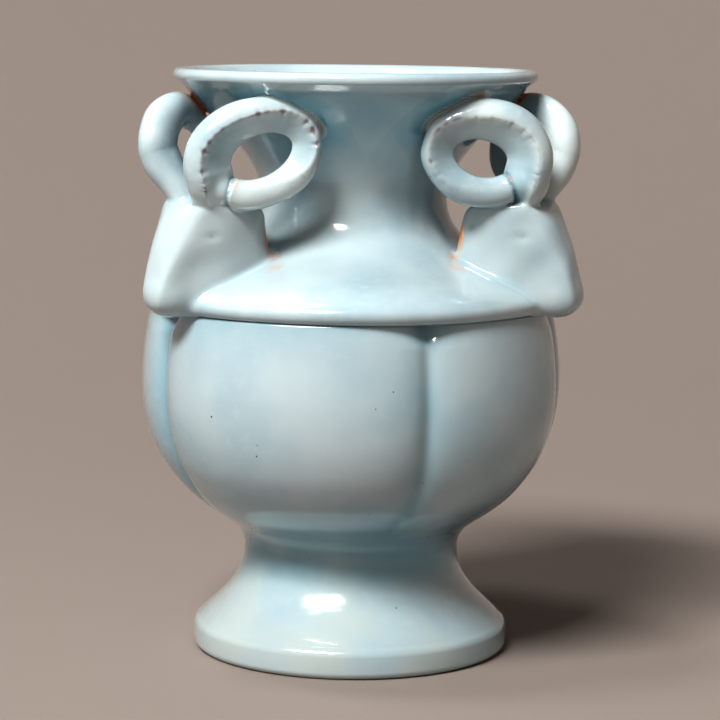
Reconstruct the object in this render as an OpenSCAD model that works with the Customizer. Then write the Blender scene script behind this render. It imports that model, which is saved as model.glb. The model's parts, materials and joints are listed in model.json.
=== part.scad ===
// Footed vase with three ram's heads, luted together from separately made clay parts.
// Millimetres, +Z up, origin at the centre of the foot's resting face.
// Heads stand at head_angles, measured from -Y towards +X.

/* [Foot] */
// Radius of the foot at its edge
foot_r = 73.6; // [64:0.2:90]
// Height of the upright edge of the foot
foot_edge_h = 14; // [10:0.5:20]
// Height of the foot, up to its joint with the bowl
foot_h = 47; // [38:0.5:58]
// Radius of the stem at its waist
waist_r = 50; // [44:0.5:58]
// Wall of the foot at the stem
foot_wall = 9; // [7:0.5:12]
// Width of the ring that the foot stands on
foot_ring_w = 10; // [7:0.5:14]

/* [Bowl] */
// Radius of the bowl at its widest
bowl_r = 98.8; // [80:0.2:120]
// Height of the bowl, between its two joints
bowl_h = 115; // [95:1:140]
// Radius of the bowl under the collar
bowl_top_r = 94.2; // [78:0.2:117]
// Wall of the bowl
bowl_wall = 7.5; // [6:0.5:10]
// Thickness of the bowl's floor
bowl_floor = 9; // [7:0.5:12]
// Depth of the grooves between the lobes
groove_depth = 4.6; // [2:0.2:5.5]
// Half width of a groove, in degrees
groove_half_angle = 5; // [3:0.5:8]
// How far the lobes' corners fall back under the collar
notch_depth = 3.4; // [0:0.2:4]

/* [Collar] */
// Height of the collar, from its joint with the bowl to the rim
collar_h = 108; // [100:1:130]
// How far the collar stands out past the top of the bowl
ledge_overhang = 2.4; // [1:0.2:4]
// Height of the shoulder, from the joint to the narrow of the neck
shoulder_h = 49; // [44:1:54]
// Radius of the neck at its narrowest
neck_r = 43; // [36:0.5:52]
// Radius of the rim at its lip
rim_r = 84; // [74:0.5:100]
// Thickness of the lip
lip_h = 6; // [5:0.5:9]
// Wall of the collar
collar_wall = 6.5; // [5:0.5:9]

/* [Joints] */
// Clearance round each locating ring, filled with slip
ring_clearance = 0.3; // [0.2:0.05:0.6]
// Depth of each locating ring
ring_depth = 5; // [3:0.5:8]
// Width of the collar's locating ring
ring_w = 5; // [3:0.5:7]

/* [Heads] */
// How far the nose stands out past the collar
nose_overhang = 15.6; // [12:0.2:20]
// Length of a head, from nose to nape
head_l = 58.5; // [52:0.5:64]
// Width of a head across the cheeks
head_w = 39; // [32:0.5:44]
// Width of the muzzle
muzzle_w = 22; // [17:0.5:27]
// Height of the crown above the joint with the bowl
crown_h = 50.5; // [47:0.5:56]

/* [Horns] */
// Angle between a horn's coil and the middle of its head
horn_splay = 30; // [24:1:36]
// How far each horn's root stands to the side of the middle of its head
horn_root_side = 13; // [11:0.5:16]
// How far each horn's root stands back from the nose
horn_root_back = 21.8; // [19:0.2:25]
// Width of a horn at its root
horn_root_w = 20.5; // [17:0.5:22]
// Width of a horn at its tip
horn_tip_w = 11; // [8:0.5:13]
// Thickness of a horn as a share of its width
horn_flatness = 0.82; // [0.7:0.02:1]
// How far the coil stands out to the side of its root
horn_bow = 5.5; // [3:0.5:8]
// Gap between the middle of the coil's far side and the neck
horn_neck_gap = 12; // [10:0.5:15]
// Height of the lowest stretch of the coil above the crown
coil_lift = 5.4; // [4:0.2:9]
// How far the coil is pressed into the underside of the rim
coil_bite = 3.4; // [1:0.2:4.2]
// Turn of the coil, from the top of the root to the tip
coil_turn = 290; // [270:1:294]

/* [Hidden] */
head_angles = [-60, 60, 180];
head_names = ["head_left", "head_right", "head_back"];
// Each horn's name, the number of its head and the side that it stands on
horns = [
    ["horn_left_front", 0, 1],
    ["horn_left_rear", 0, -1],
    ["horn_right_front", 1, -1],
    ["horn_right_rear", 1, 1],
    ["horn_back_left", 2, 1],
    ["horn_back_right", 2, -1]
];

glaze_foot = [0.66, 0.80, 0.81];
glaze_bowl = [0.62, 0.77, 0.80];
glaze_collar = [0.66, 0.81, 0.84];
glaze_head = [0.70, 0.79, 0.83];
glaze_horn = [0.72, 0.82, 0.84];

round_fn = 96;          // fineness of the turned parts
curve_steps = 14;       // points along each curve of a profile
bowl_columns = 90;      // facets round the bowl
bowl_rows = 18;         // facets up the bowl
head_sides = 22;        // facets round a head
horn_sides = 12;        // facets round a horn
horn_rings = 36;        // rings along a horn's coil
root_rings = 3;         // rings along a horn's root

// Middle of each valley between two lobes, uneven as the hand left them
groove_angles = [-71, 15, 76, 147, 218];

bowl_z = foot_h;
joint_z = foot_h + bowl_h;
height = joint_z + collar_h;
neck_z = joint_z + shoulder_h;
ledge_r = bowl_top_r + ledge_overhang;
nose_x = ledge_r + nose_overhang;
crown_z = joint_z + crown_h;
stem_bore_r = waist_r - foot_wall;
bowl_bore_r = bowl_top_r - bowl_wall - notch_depth;
root_x = nose_x - horn_root_back;

// ---------- curves ----------

// Point of a cubic curve
function bez(p, t) = pow(1 - t, 3) * p[0] + 3 * t * pow(1 - t, 2) * p[1]
    + 3 * t * t * (1 - t) * p[2] + pow(t, 3) * p[3];

// Points of a cubic curve, without its last one
function curve(p, n = curve_steps) = [for (i = [0 : n - 1]) bez(p, i / n)];

// Points of an arc from angle a0 to angle a1 about c
function arc(c, r, a0, a1, n) = [for (i = [0 : n]) let (a = a0 + (a1 - a0) * i / n) c + r * [cos(a), sin(a)]];

function unit(v) = v / norm(v);

function flip(list) = [for (i = [len(list) - 1 : -1 : 0]) list[i]];

function smooth(t) = let (u = min(1, max(0, t))) u * u * (3 - 2 * u);

// ---------- profiles, as [radius, height] ----------

foot_flare = [
    [foot_r - 1.2, foot_edge_h],
    [foot_r - 9.5, foot_edge_h + 8],
    [waist_r + 1, foot_h - 16],
    [waist_r, foot_h]
];

bowl_side = [
    [waist_r + 1.2, bowl_z + 7],
    [waist_r + 21, bowl_z + 0.19 * bowl_h],
    [bowl_r + 2, bowl_z + 0.35 * bowl_h],
    [bowl_r, bowl_z + 0.69 * bowl_h]
];

lip_r = lip_h / 2;
flare_end = [rim_r - lip_r, height - lip_h + 0.3];
flare_h = flare_end[1] - neck_z;
neck_flare = [
    [neck_r, neck_z],
    [neck_r, neck_z + 0.36 * flare_h],
    [rim_r - 18, neck_z + 0.62 * flare_h],
    flare_end
];

shoulder_w = ledge_r - neck_r;
shoulder_mid = [neck_r + 0.65 * shoulder_w, joint_z + 0.36 * shoulder_h];
shoulder_top = [
    shoulder_mid,
    [neck_r + 0.32 * shoulder_w, joint_z + 0.52 * shoulder_h],
    [neck_r, joint_z + 0.63 * shoulder_h],
    [neck_r, neck_z]
];
ledge_round_r = 4.2;
shoulder_edge = [
    [ledge_r, joint_z + ledge_round_r + 0.2],
    [ledge_r, joint_z + 0.18 * shoulder_h],
    [neck_r + 0.84 * shoulder_w, joint_z + 0.27 * shoulder_h],
    shoulder_mid
];

// Outside of the collar, from the joint up to the lip
collar_outer = concat(
    arc([ledge_r - ledge_round_r, joint_z + ledge_round_r], ledge_round_r, -90, 0, 6),
    curve(shoulder_edge, 8),
    curve(shoulder_top),
    curve(neck_flare)
);
lip = arc([rim_r - lip_r, height - lip_r], lip_r, -50, 90, 8);

// The inside runs one wall behind the outside
neck_inner = [for (p = concat(curve(shoulder_top), curve(neck_flare))) p - [collar_wall, 0]];

// ---------- foot ----------

foot_round_r = 3.4;

module foot() {
    rest_r = foot_r - foot_round_r;
    ring_in = rest_r - foot_ring_w;
    ring_z = foot_h - 2 * ring_depth;
    color(glaze_foot)
    rotate_extrude($fn = round_fn)
    polygon(concat(
        [[ring_in, 0], [rest_r, 0]],
        arc([rest_r, foot_round_r], foot_round_r, -60, 0, 4),
        arc([rest_r, foot_edge_h - 3], foot_round_r, 0, 50, 4),
        curve(foot_flare),
        [[waist_r, foot_h], [stem_bore_r, foot_h]],
        curve([
            [stem_bore_r, ring_z],
            [stem_bore_r, foot_h * 0.5],
            [ring_in - 12, foot_edge_h + 4],
            [ring_in - 2, foot_edge_h - 4]
        ], 8)
    ));
}

// ---------- bowl ----------

function turn_between(a, b) = let (d = (a - b) % 360) d > 180 ? d - 360 : d < -180 ? d + 360 : d;

// How deep the valleys are at this angle: 1 in the middle of a valley, 0 on a lobe
function valley(a) = max([for (g = groove_angles) 1 / (1 + pow(turn_between(a, g) / groove_half_angle, 2))]);

// Radius of the plain bowl at a share of its height, as [radius, height]
bowl_outline = concat(
    [[waist_r, bowl_z]],
    [for (i = [0 : bowl_rows - 5]) bez(bowl_side, i / (bowl_rows - 5))],
    [for (i = [1 : 3]) let (t = i / 3) [
        bowl_r - (bowl_r - bowl_top_r) * t * t,
        bowl_z + bowl_h * (0.69 + 0.31 * t)
    ]]
);

// How strongly the valleys bite at this height
function bite(z) = let (t = (z - bowl_z) / bowl_h)
    groove_depth * smooth((t - 0.06) / 0.3) + notch_depth * smooth((t - 0.82) / 0.18);

function bowl_point(p, a) = let (r = p[0] - bite(p[1]) * valley(a)) [r * sin(a), -r * cos(a), p[1]];

function ring_faces(rows, n) = [for (j = [0 : rows - 2], i = [0 : n - 1], k = [0, 1])
    let (a = j * n + i, b = j * n + (i + 1) % n)
    k == 0 ? [a, a + n, b] : [b, a + n, b + n]];

function middle(ring) = [for (p = ring) 1] * ring / len(ring);

// Fan of faces from a ring, whose first corner has this number, to the point in its middle
function cap_faces(first, n, centre, up) = [for (i = [0 : n - 1])
    let (a = first + i, b = first + (i + 1) % n) up ? [b, a, centre] : [a, b, centre]];

// Closed solid through equal rings of points, from the first ring to the last
module loft(rings) {
    n = len(rings[0]);
    m = len(rings);
    polyhedron(
        concat([for (r = rings, p = r) p], [middle(rings[0]), middle(rings[m - 1])]),
        concat(
            ring_faces(m, n),
            cap_faces(0, n, m * n, false),
            cap_faces((m - 1) * n, n, m * n + 1, true)
        )
    );
}

module bowl_outside() {
    loft([for (p = bowl_outline) [for (i = [0 : bowl_columns - 1]) bowl_point(p, i * 360 / bowl_columns)]]);
}

// The hollow follows the outside, one wall behind its valleys
function outward(list, i) = let (d = unit(list[i + 1] - list[i - 1])) [d[1], -d[0]];
hollow_side = [for (i = [1 : len(bowl_outline) - 3])
    let (p = bowl_outline[i] - bowl_wall * outward(bowl_outline, i) - [bite(bowl_outline[i][1]), 0])
    if (p[1] > bowl_z + bowl_floor + 2 && p[1] < joint_z - ring_depth - 6) p];

module bowl_inside() {
    floor_z = bowl_z + bowl_floor;
    rotate_extrude($fn = round_fn)
    polygon(concat(
        [[0, floor_z], [hollow_side[0][0] - 4, floor_z]],
        hollow_side,
        [[bowl_bore_r, joint_z - ring_depth - 2], [bowl_bore_r, joint_z + 1], [0, joint_z + 1]]
    ));
}

module bowl() {
    color(glaze_bowl)
    difference() {
        union() {
            bowl_outside();
            translate([0, 0, bowl_z - ring_depth])
            cylinder(r = stem_bore_r - ring_clearance, h = ring_depth + 2, $fn = round_fn);
        }
        bowl_inside();
    }
}

// ---------- collar ----------

module collar() {
    ring_r = bowl_bore_r - ring_clearance;
    ring_z = joint_z - ring_depth;
    color(glaze_collar)
    rotate_extrude($fn = round_fn)
    polygon(concat(
        collar_outer,
        lip,
        [[rim_r - 2.6 * lip_r, height - 0.5]],
        flip(neck_inner),
        curve([
            neck_inner[0],
            neck_inner[0] + [12, -5],
            [ring_r - ring_w, joint_z + 16],
            [ring_r - ring_w, ring_z]
        ], 8),
        [[ring_r - ring_w, ring_z], [ring_r, ring_z], [ring_r, joint_z]]
    ));
}

// The collar with its hollow filled, which heads and horns are cut to fit
module collar_envelope() {
    rotate_extrude($fn = round_fn)
    polygon(concat([[0, joint_z]], collar_outer, lip, [[0, height]]));
}

// ---------- heads ----------

// Sections of a head along its length: share of the length from the nose, bottom and top
// below the crown, and share of the full width
head_sections = [
    [0.000, 43.0, 36.0, 0.16],
    [0.018, 47.0, 31.0, 0.34],
    [0.055, 49.6, 25.5, 0.46],
    [0.110, 51.0, 17.5, 0.56],
    [0.170, 51.2, 10.0, 0.62],
    [0.240, 50.2, 5.0, 0.70],
    [0.330, 47.5, 1.8, 0.81],
    [0.440, 43.5, 0.2, 0.93],
    [0.560, 38.5, 0.0, 1.00],
    [0.680, 34.0, 1.0, 1.00],
    [0.790, 31.0, 3.0, 0.94],
    [0.880, 28.5, 5.8, 0.82],
    [0.950, 26.0, 9.5, 0.62],
    [0.990, 23.0, 14.0, 0.34],
    [1.000, 20.5, 17.0, 0.16]
];

function side_of(v) = v < 0 ? -1 : 1;

// Ring of a section: a squared ellipse
function head_ring(s) = let (
    x = nose_x - s[0] * head_l,
    zc = crown_z - (s[1] + s[2]) / 2,
    hz = (s[1] - s[2]) / 2,
    hy = s[3] * head_w / 2 * (1 + (muzzle_w / head_w / 0.564 - 1) * smooth(1 - s[0] / 0.4))
) [for (i = [0 : head_sides - 1]) let (a = -i * 360 / head_sides, c = cos(a), w = sin(a))
    [x, hy * side_of(c) * pow(abs(c), 0.8), zc + hz * side_of(w) * pow(abs(w), 0.8)]];

module head_solid(i) {
    rotate([0, 0, head_angles[i] - 90])
    loft([for (s = head_sections) head_ring(s)]);
}

module ram_head(i) {
    color(glaze_head)
    difference() {
        head_solid(i);
        collar_envelope();
    }
}

// ---------- horns ----------

// Underside of the rim at a radius, and radius of the neck at a height
flare_points = [for (i = [0 : curve_steps]) bez(neck_flare, i / curve_steps)];
function under_rim(r) = lookup(r, flare_points);
function neck_at(z) = lookup(z, [for (p = flare_points) [p[1], p[0]]]);

// Directions in a head's plan: along the coil towards the neck, and out of the coil to its side
function coil_dir(side) = [-cos(horn_splay), side * sin(horn_splay), 0];
function coil_out(side) = [sin(horn_splay), side * cos(horn_splay), 0];
coil_start = [root_x, horn_root_side, 0] + horn_bow * coil_out(1);

// Half the length of the coil: from over the root to beside the neck
mid_z = (crown_z + height - lip_h) / 2;
far_r = neck_at(mid_z) + horn_neck_gap;
along = -coil_start * coil_dir(1);
coil_a = (along - sqrt(max(0, along * along - coil_start * coil_start + far_r * far_r))) / 2;

function horn_w(t) = horn_root_w + (horn_tip_w - horn_root_w) * smooth(t * 0.92);

// Half the height of the coil: from just over the crown to its deepest bite into the rim's underside,
// which it meets somewhere in the quarter turn after its top
coil_bottom = crown_z + coil_lift;
function rim_slope(r) = (under_rim(r + 1) - under_rim(r - 1)) / 2;
function reach(turn, r) = (horn_w(turn / coil_turn) / 2 - coil_bite) * norm([1, rim_slope(r)]);
coil_b = min([for (q = [0 : 5 : 75])
    let (r = norm(coil_start + coil_a * (1 + sin(q)) * coil_dir(1)))
    (under_rim(r) - reach(90 + q, r) - coil_bottom) / (1 + cos(q))]);
coil_z = coil_bottom + coil_b;

root_depth = 10;        // how far the horn reaches down into its head
root_lean = 3.5;        // how far the foot of the root leans towards the neck

// Middle of the horn, as [distance from the root towards the neck, height]; t < 0 is the root
function horn_path(t) = t < 0
    ? [root_lean * t * t, coil_z + t * (coil_z - crown_z + root_depth)]
    : [coil_a * (1 - cos(t * coil_turn)), coil_z + coil_b * sin(t * coil_turn)];

// How far the horn stands out to its side: the root leans out, and the tip comes back
function horn_out(t) = horn_bow * (t < 0 ? smooth(t + 1) : 1 - 0.7 * smooth((t - 0.45) / 0.55));

// Ring round the horn at t: u lies in the coil's plane, v across it
function horn_ring(t, side) = let (
    e = 0.004,
    p = horn_path(t),
    d = unit(horn_path(t + e) - horn_path(t - e)),
    w = horn_w(max(t, 0)) / 2,
    u = -d[1] * coil_dir(side) + [0, 0, d[0]],
    v = side * coil_out(side),
    base = [root_x, side * horn_root_side, p[1]] + p[0] * coil_dir(side) + horn_out(t) * coil_out(side)
) [for (i = [0 : horn_sides - 1]) let (a = side * i * 360 / horn_sides)
    base + w * cos(a) * u + w * horn_flatness * sin(a) * v];

horn_steps = concat(
    [for (i = [0 : root_rings - 1]) -1 + i / root_rings],
    [for (i = [0 : horn_rings]) i / horn_rings]
);

module horn(h) {
    color(glaze_horn)
    difference() {
        rotate([0, 0, head_angles[h[1]] - 90])
        loft([for (t = horn_steps) horn_ring(t, h[2])]);
        collar_envelope();
        head_solid(h[1]);
    }
}

foot();
bowl();
collar();
for (i = [0 : 2]) ram_head(i);
for (h = horns) horn(h);
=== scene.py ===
"""Looks of a glazed footed vase: foot, lobed bowl, collar, and three ram's heads with coiled horns.

The turned pieces are made by a Geometry Nodes tree that turns an outline about the upright axis. The heads and
horns are modelled as distance fields, so that clay flows from one piece into the next as it does where two
pieces are luted together, and each piece is then cut out of the field as a closed mesh of its own.
Sizes are in millimetres until a mesh is made; meshes are in metres.
"""

import json
import logging
import math
from dataclasses import dataclass
from enum import Enum

import bpy
import numpy as np
from mathutils import Matrix, Vector

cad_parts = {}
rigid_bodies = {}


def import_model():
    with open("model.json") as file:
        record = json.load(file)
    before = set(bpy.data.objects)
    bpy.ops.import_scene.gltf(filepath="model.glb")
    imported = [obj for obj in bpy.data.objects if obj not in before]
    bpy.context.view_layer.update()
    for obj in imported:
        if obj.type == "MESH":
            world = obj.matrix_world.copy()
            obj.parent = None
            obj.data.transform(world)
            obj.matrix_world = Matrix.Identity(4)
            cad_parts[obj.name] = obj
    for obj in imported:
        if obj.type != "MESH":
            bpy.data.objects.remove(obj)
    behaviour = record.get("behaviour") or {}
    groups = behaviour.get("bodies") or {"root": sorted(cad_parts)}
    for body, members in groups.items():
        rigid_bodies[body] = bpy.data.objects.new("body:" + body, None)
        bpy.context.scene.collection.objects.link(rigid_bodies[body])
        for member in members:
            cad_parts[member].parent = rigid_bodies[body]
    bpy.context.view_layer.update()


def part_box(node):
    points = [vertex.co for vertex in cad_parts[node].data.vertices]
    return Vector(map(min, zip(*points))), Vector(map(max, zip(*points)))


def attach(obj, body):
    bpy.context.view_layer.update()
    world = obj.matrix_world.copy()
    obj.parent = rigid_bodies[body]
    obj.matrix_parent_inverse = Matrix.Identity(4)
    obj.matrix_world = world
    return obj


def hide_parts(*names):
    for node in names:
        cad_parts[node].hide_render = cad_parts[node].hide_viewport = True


LOG = logging.getLogger("vase")
MM = 0.001
BODY = "root"
Array = np.ndarray
Point = tuple[float, float]
Triple = tuple[float, float, float]
Socket = bpy.types.NodeSocket
Material = bpy.types.Material
Mesh = bpy.types.Mesh
Piece = bpy.types.Object

GAMMA = 0.74  # deepens the darks of the view
FINE_CELL = 0.6  # width of a face of the modelled pieces, in millimetres


# ---------------------------------------------------------------- shapes of lines and fields


def smoothstep(x: Array) -> Array:
    """Eases from 0 to 1 while x goes from 0 to 1."""
    t = np.clip(x, 0.0, 1.0)
    return t * t * (3.0 - 2.0 * t)


def fade(x: Array, width: float) -> Array:
    """Gives 1 up to a distance of 0 and dies away beyond it over a width."""
    return np.exp(-np.maximum(x, 0) / width)


def bell(x: Array, width: float) -> Array:
    """Gives 1 in the middle and dies away on both sides of it over a width."""
    return np.exp(-((x / width) ** 2))


def soft_min(a: Array, b: Array, width: float) -> Array:
    """Joins two fields with a fillet.

    Args:
        a: Distance to the first shape.
        b: Distance to the second shape.
        width: Size of the fillet between them.

    Returns:
        Distance to the joined shape.
    """
    h = np.maximum(width - np.abs(a - b), 0.0) / width
    return np.minimum(a, b) - h * h * h * width / 6.0


def soft_max(a: Array, b: Array, width: float) -> Array:
    """Keeps what two fields share, with the edge between them rounded to a width."""
    return -soft_min(-a, -b, width)


def cubic(p0: Point, p1: Point, p2: Point, p3: Point, n: int) -> Array:
    """Samples a cubic curve.

    Args:
        p0: Start.
        p1: Point that the start heads for.
        p2: Point that the end comes from.
        p3: End.
        n: Number of points; the end itself is left out.

    Returns:
        The points, one row each.
    """
    t = (np.arange(n) / n)[:, None]
    a, b, c, d = (np.asarray(p, float) for p in (p0, p1, p2, p3))
    return (1 - t) ** 3 * a + 3 * t * (1 - t) ** 2 * b + 3 * t * t * (1 - t) * c + t**3 * d


def arc(centre: Point, radius: float, start: float, end: float, n: int) -> Array:
    """Samples an arc from one angle to another, in degrees, both ends included."""
    a = np.radians(np.linspace(start, end, n))
    return np.stack([centre[0] + radius * np.cos(a), centre[1] + radius * np.sin(a)], 1)


def spline(points: Array, n: int) -> Array:
    """Runs a smooth line through points.

    Args:
        points: The points to pass through, one row each.
        n: Number of samples along the line.

    Returns:
        The samples, evenly spread between the points, both ends included.
    """
    p = np.asarray(points, float)
    p = np.vstack([2 * p[0] - p[1], p, 2 * p[-1] - p[-2]])
    knots = np.concatenate([[0.0], np.cumsum(np.sqrt(np.linalg.norm(np.diff(p, axis=0), axis=1)))])
    s = np.linspace(knots[1], knots[-2], n)
    i = np.clip(np.searchsorted(knots, s, side="right") - 1, 1, len(p) - 3)
    k0, k1, k2, k3 = (knots[i + j][:, None] for j in (-1, 0, 1, 2))
    q0, q1, q2, q3 = (p[i + j] for j in (-1, 0, 1, 2))
    t = s[:, None]
    a1 = (k1 - t) / (k1 - k0) * q0 + (t - k0) / (k1 - k0) * q1
    a2 = (k2 - t) / (k2 - k1) * q1 + (t - k1) / (k2 - k1) * q2
    a3 = (k3 - t) / (k3 - k2) * q2 + (t - k2) / (k3 - k2) * q3
    b1 = (k2 - t) / (k2 - k0) * a1 + (t - k0) / (k2 - k0) * a2
    b2 = (k3 - t) / (k3 - k1) * a2 + (t - k1) / (k3 - k1) * a3
    return (k2 - t) / (k2 - k1) * b1 + (t - k1) / (k2 - k1) * b2


def spread(line: Array, step: float) -> Array:
    """Takes points off a line at one spacing, keeping its first and last.

    Args:
        line: The line's points, one row each.
        step: Spacing.

    Returns:
        The points taken, one row each.
    """
    d = np.concatenate([[0.0], np.cumsum(np.linalg.norm(np.diff(line, axis=0), axis=1))])
    s = np.linspace(0.0, d[-1], max(2, int(round(d[-1] / step)) + 1))
    return np.stack([np.interp(s, d, line[:, k]) for k in range(line.shape[1])], 1)


class Ripple:
    """A gentle unevenness left by hands: a few slow waves in random directions."""

    def __init__(self, seed: int, size: float, height: float) -> None:
        """Draws the waves.

        Args:
            seed: Fixes the waves.
            size: Length of a wave.
            height: How far the surface rises and falls.
        """
        rng = np.random.default_rng(seed)
        d = rng.normal(size=(7, 3))
        self.waves = d / np.linalg.norm(d, axis=1)[:, None] * rng.uniform(0.7, 1.6, (7, 1)) * 2 * math.pi / size
        self.phases = rng.uniform(0, 2 * math.pi, 7)
        self.height = height / 2.6

    def __call__(self, p: Array) -> Array:
        """Gives the height of the waves at each point."""
        return self.height * np.sin(p @ self.waves.T + self.phases).sum(1)


# ---------------------------------------------------------------- finishes


class NodeKit:
    """Adds nodes to a tree and joins them."""

    def __init__(self, tree: bpy.types.NodeTree) -> None:
        """Takes the tree to add to."""
        self.tree = tree

    def add(self, kind: str, links: dict[object, object] | None = None, **settings: object) -> bpy.types.Node:
        """Adds a node.

        Args:
            kind: Blender's name for the node.
            links: What goes into each input: a socket, or a value to set on it.
            **settings: Properties of the node.

        Returns:
            The node.
        """
        node = self.tree.nodes.new(kind)
        for key, value in settings.items():
            setattr(node, key, value)
        for key, value in (links or {}).items():
            if isinstance(value, Socket):
                self.tree.links.new(value, node.inputs[key])
            else:
                node.inputs[key].default_value = value
        return node

    def math(self, op: str, *values: object) -> Socket:
        """Adds a sum on sockets and numbers and gives its result."""
        return self.add("ShaderNodeMath", dict(enumerate(values)), operation=op).outputs[0]

    def times(self, a: object, b: object) -> Socket:
        """Multiplies two values."""
        return self.math("MULTIPLY", a, b)


class GlazeNodes(NodeKit):
    """The nodes that a glaze is mixed from."""

    def __init__(self, tree: bpy.types.NodeTree) -> None:
        """Takes the tree; patterns are laid out in the piece's own space."""
        super().__init__(tree)
        self.coords = self.add("ShaderNodeTexCoord").outputs["Object"]

    def noise(self, scale: float, detail: float) -> Socket:
        """Adds a noise of a scale and gives its value."""
        links = {"Scale": scale, "Detail": detail, "Vector": self.coords}
        return self.add("ShaderNodeTexNoise", links).outputs["Fac"]

    def mark(self, name: str) -> Socket:
        """Reads a number that the mesh carries at each corner."""
        return self.add("ShaderNodeAttribute", attribute_name=name).outputs["Fac"]

    def ramp(self, value: Socket, low: float, high: float) -> Socket:
        """Eases a value from 0 at the low mark to 1 at the high mark."""
        links = {"From Min": low, "From Max": high, "Value": value}
        return self.add("ShaderNodeMapRange", links, interpolation_type="SMOOTHSTEP").outputs["Result"]

    def broken(self, value: Socket, noise: Socket, level: float, soft: float) -> Socket:
        """Breaks a patch's edge up with noise: it shows where value and noise together pass a level."""
        total = self.math("MULTIPLY_ADD", noise, self.math("MINIMUM", value, 0.6), value)
        return self.ramp(total, level - soft, level + soft)

    def mix(self, factor: Socket, a: object, b: object) -> Socket:
        """Mixes two colours, each a socket or three numbers."""
        colours = {key: (*v, 1.0) if isinstance(v, tuple) else v for key, v in ((6, a), (7, b))}
        return self.add("ShaderNodeMix", {0: factor, **colours}, data_type="RGBA").outputs[2]

    def pinholes(self, share: float) -> Socket:
        """Scatters pinholes.

        Args:
            share: Share of cells that hold one.

        Returns:
            1 inside a pinhole and 0 elsewhere.
        """
        cells = self.add("ShaderNodeTexVoronoi", {"Scale": 260.0, "Vector": self.coords}).outputs
        pick = self.add("ShaderNodeSeparateColor", {"Color": cells["Color"]}).outputs
        chosen = self.math("GREATER_THAN", pick["Red"], 1.0 - share)
        size = self.math("MULTIPLY_ADD", pick["Green"], 0.09, 0.02)
        return self.times(chosen, self.math("LESS_THAN", cells["Distance"], size))


@dataclass(frozen=True)
class Glaze:
    """A clear pale blue glaze over light clay, what heat and handling did to it, and the shade painted into it.

    Attributes:
        slot: Material slot of the record.
        tint: Colour of an even coat.
        cool: Colour that it drifts towards in slow patches.
        pool: Colour where the glaze lies deep, and of the shade painted into hollows, grooves, the waist, the
            lower bowl and the upper neck.
        thin: Colour where it has run thin over an edge.
        bare: Colour of toasted clay that the glaze drew back from.
        grime_and_shade: Colour of specks and of dirt in a joint, and of the painted shade along joints and
            creases.
        specks: Share of cells that hold a pinhole.
        coat_roughness: Roughness of the glassy surface.
    """

    slot: str
    tint: Triple = (0.40, 0.478, 0.51)
    cool: Triple = (0.34, 0.435, 0.48)
    pool: Triple = (0.09, 0.29, 0.38)
    thin: Triple = (0.22, 0.16, 0.17)
    bare: Triple = (0.62, 0.24, 0.06)
    grime_and_shade: Triple = (0.035, 0.025, 0.02)
    specks: float = 0.03
    coat_roughness: float = 0.035

    def make(self) -> Material:
        """Builds the material's nodes.

        Returns:
            The material, which reads the marks pool, thin, bare and crevice; the first and the last paint shade
            as well as deep glaze and grime.
        """
        mat = bpy.data.materials.new(self.slot + "_finish")
        mat.use_nodes = True
        mat.node_tree.nodes.clear()
        kit = GlazeNodes(mat.node_tree)
        drift, mottle = kit.noise(24.0, 2.0), kit.noise(210.0, 4.0)
        grit, peel = kit.noise(900.0, 3.0), kit.noise(120.0, 2.0)
        light = tuple(min(1.0, c * 1.12 + 0.02) for c in self.tint)
        thin = kit.broken(kit.mark("thin"), mottle, 0.62, 0.25)
        bare = kit.broken(kit.mark("bare"), mottle, 0.95, 0.5)
        speck = kit.pinholes(self.specks)
        colour = kit.mix(kit.ramp(drift, 0.35, 0.7), self.tint, self.cool)
        for factor, coat in (
            (kit.times(kit.ramp(mottle, 0.45, 0.9), kit.ramp(drift, 0.2, 1.4)), light),
            # deep glaze, and painted shade in hollows, grooves and under overhangs
            (kit.times(kit.mark("pool"), kit.ramp(drift, 0.0, 0.6)), self.pool),
            (thin, self.thin),
            (bare, self.bare),
            # grime in joints, and painted shade along seams and creases
            (kit.broken(kit.mark("crevice"), grit, 1.0, 0.22), self.grime_and_shade),
            (speck, self.grime_and_shade),
        ):
            colour = kit.mix(factor, colour, coat)
        height = kit.math("MULTIPLY_ADD", thin, -0.6, kit.math("MULTIPLY_ADD", speck, -2.0, peel))
        dips = {"Strength": 0.22, "Distance": 0.0006, "Height": height}
        bump = kit.add("ShaderNodeBump", dips).outputs["Normal"]
        surface = {
            "Base Color": colour,
            "Roughness": kit.math("MULTIPLY_ADD", bare, 0.35, 0.16),
            "IOR": 1.5,
            "Coat Weight": 0.8,
            "Coat Roughness": self.coat_roughness,
            "Coat IOR": 1.5,
            "Normal": bump,
            "Coat Normal": bump,
        }
        shader = kit.add("ShaderNodeBsdfPrincipled", surface).outputs["BSDF"]
        kit.add("ShaderNodeOutputMaterial", {"Surface": shader})
        return mat


# ---------------------------------------------------------------- sizes


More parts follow.
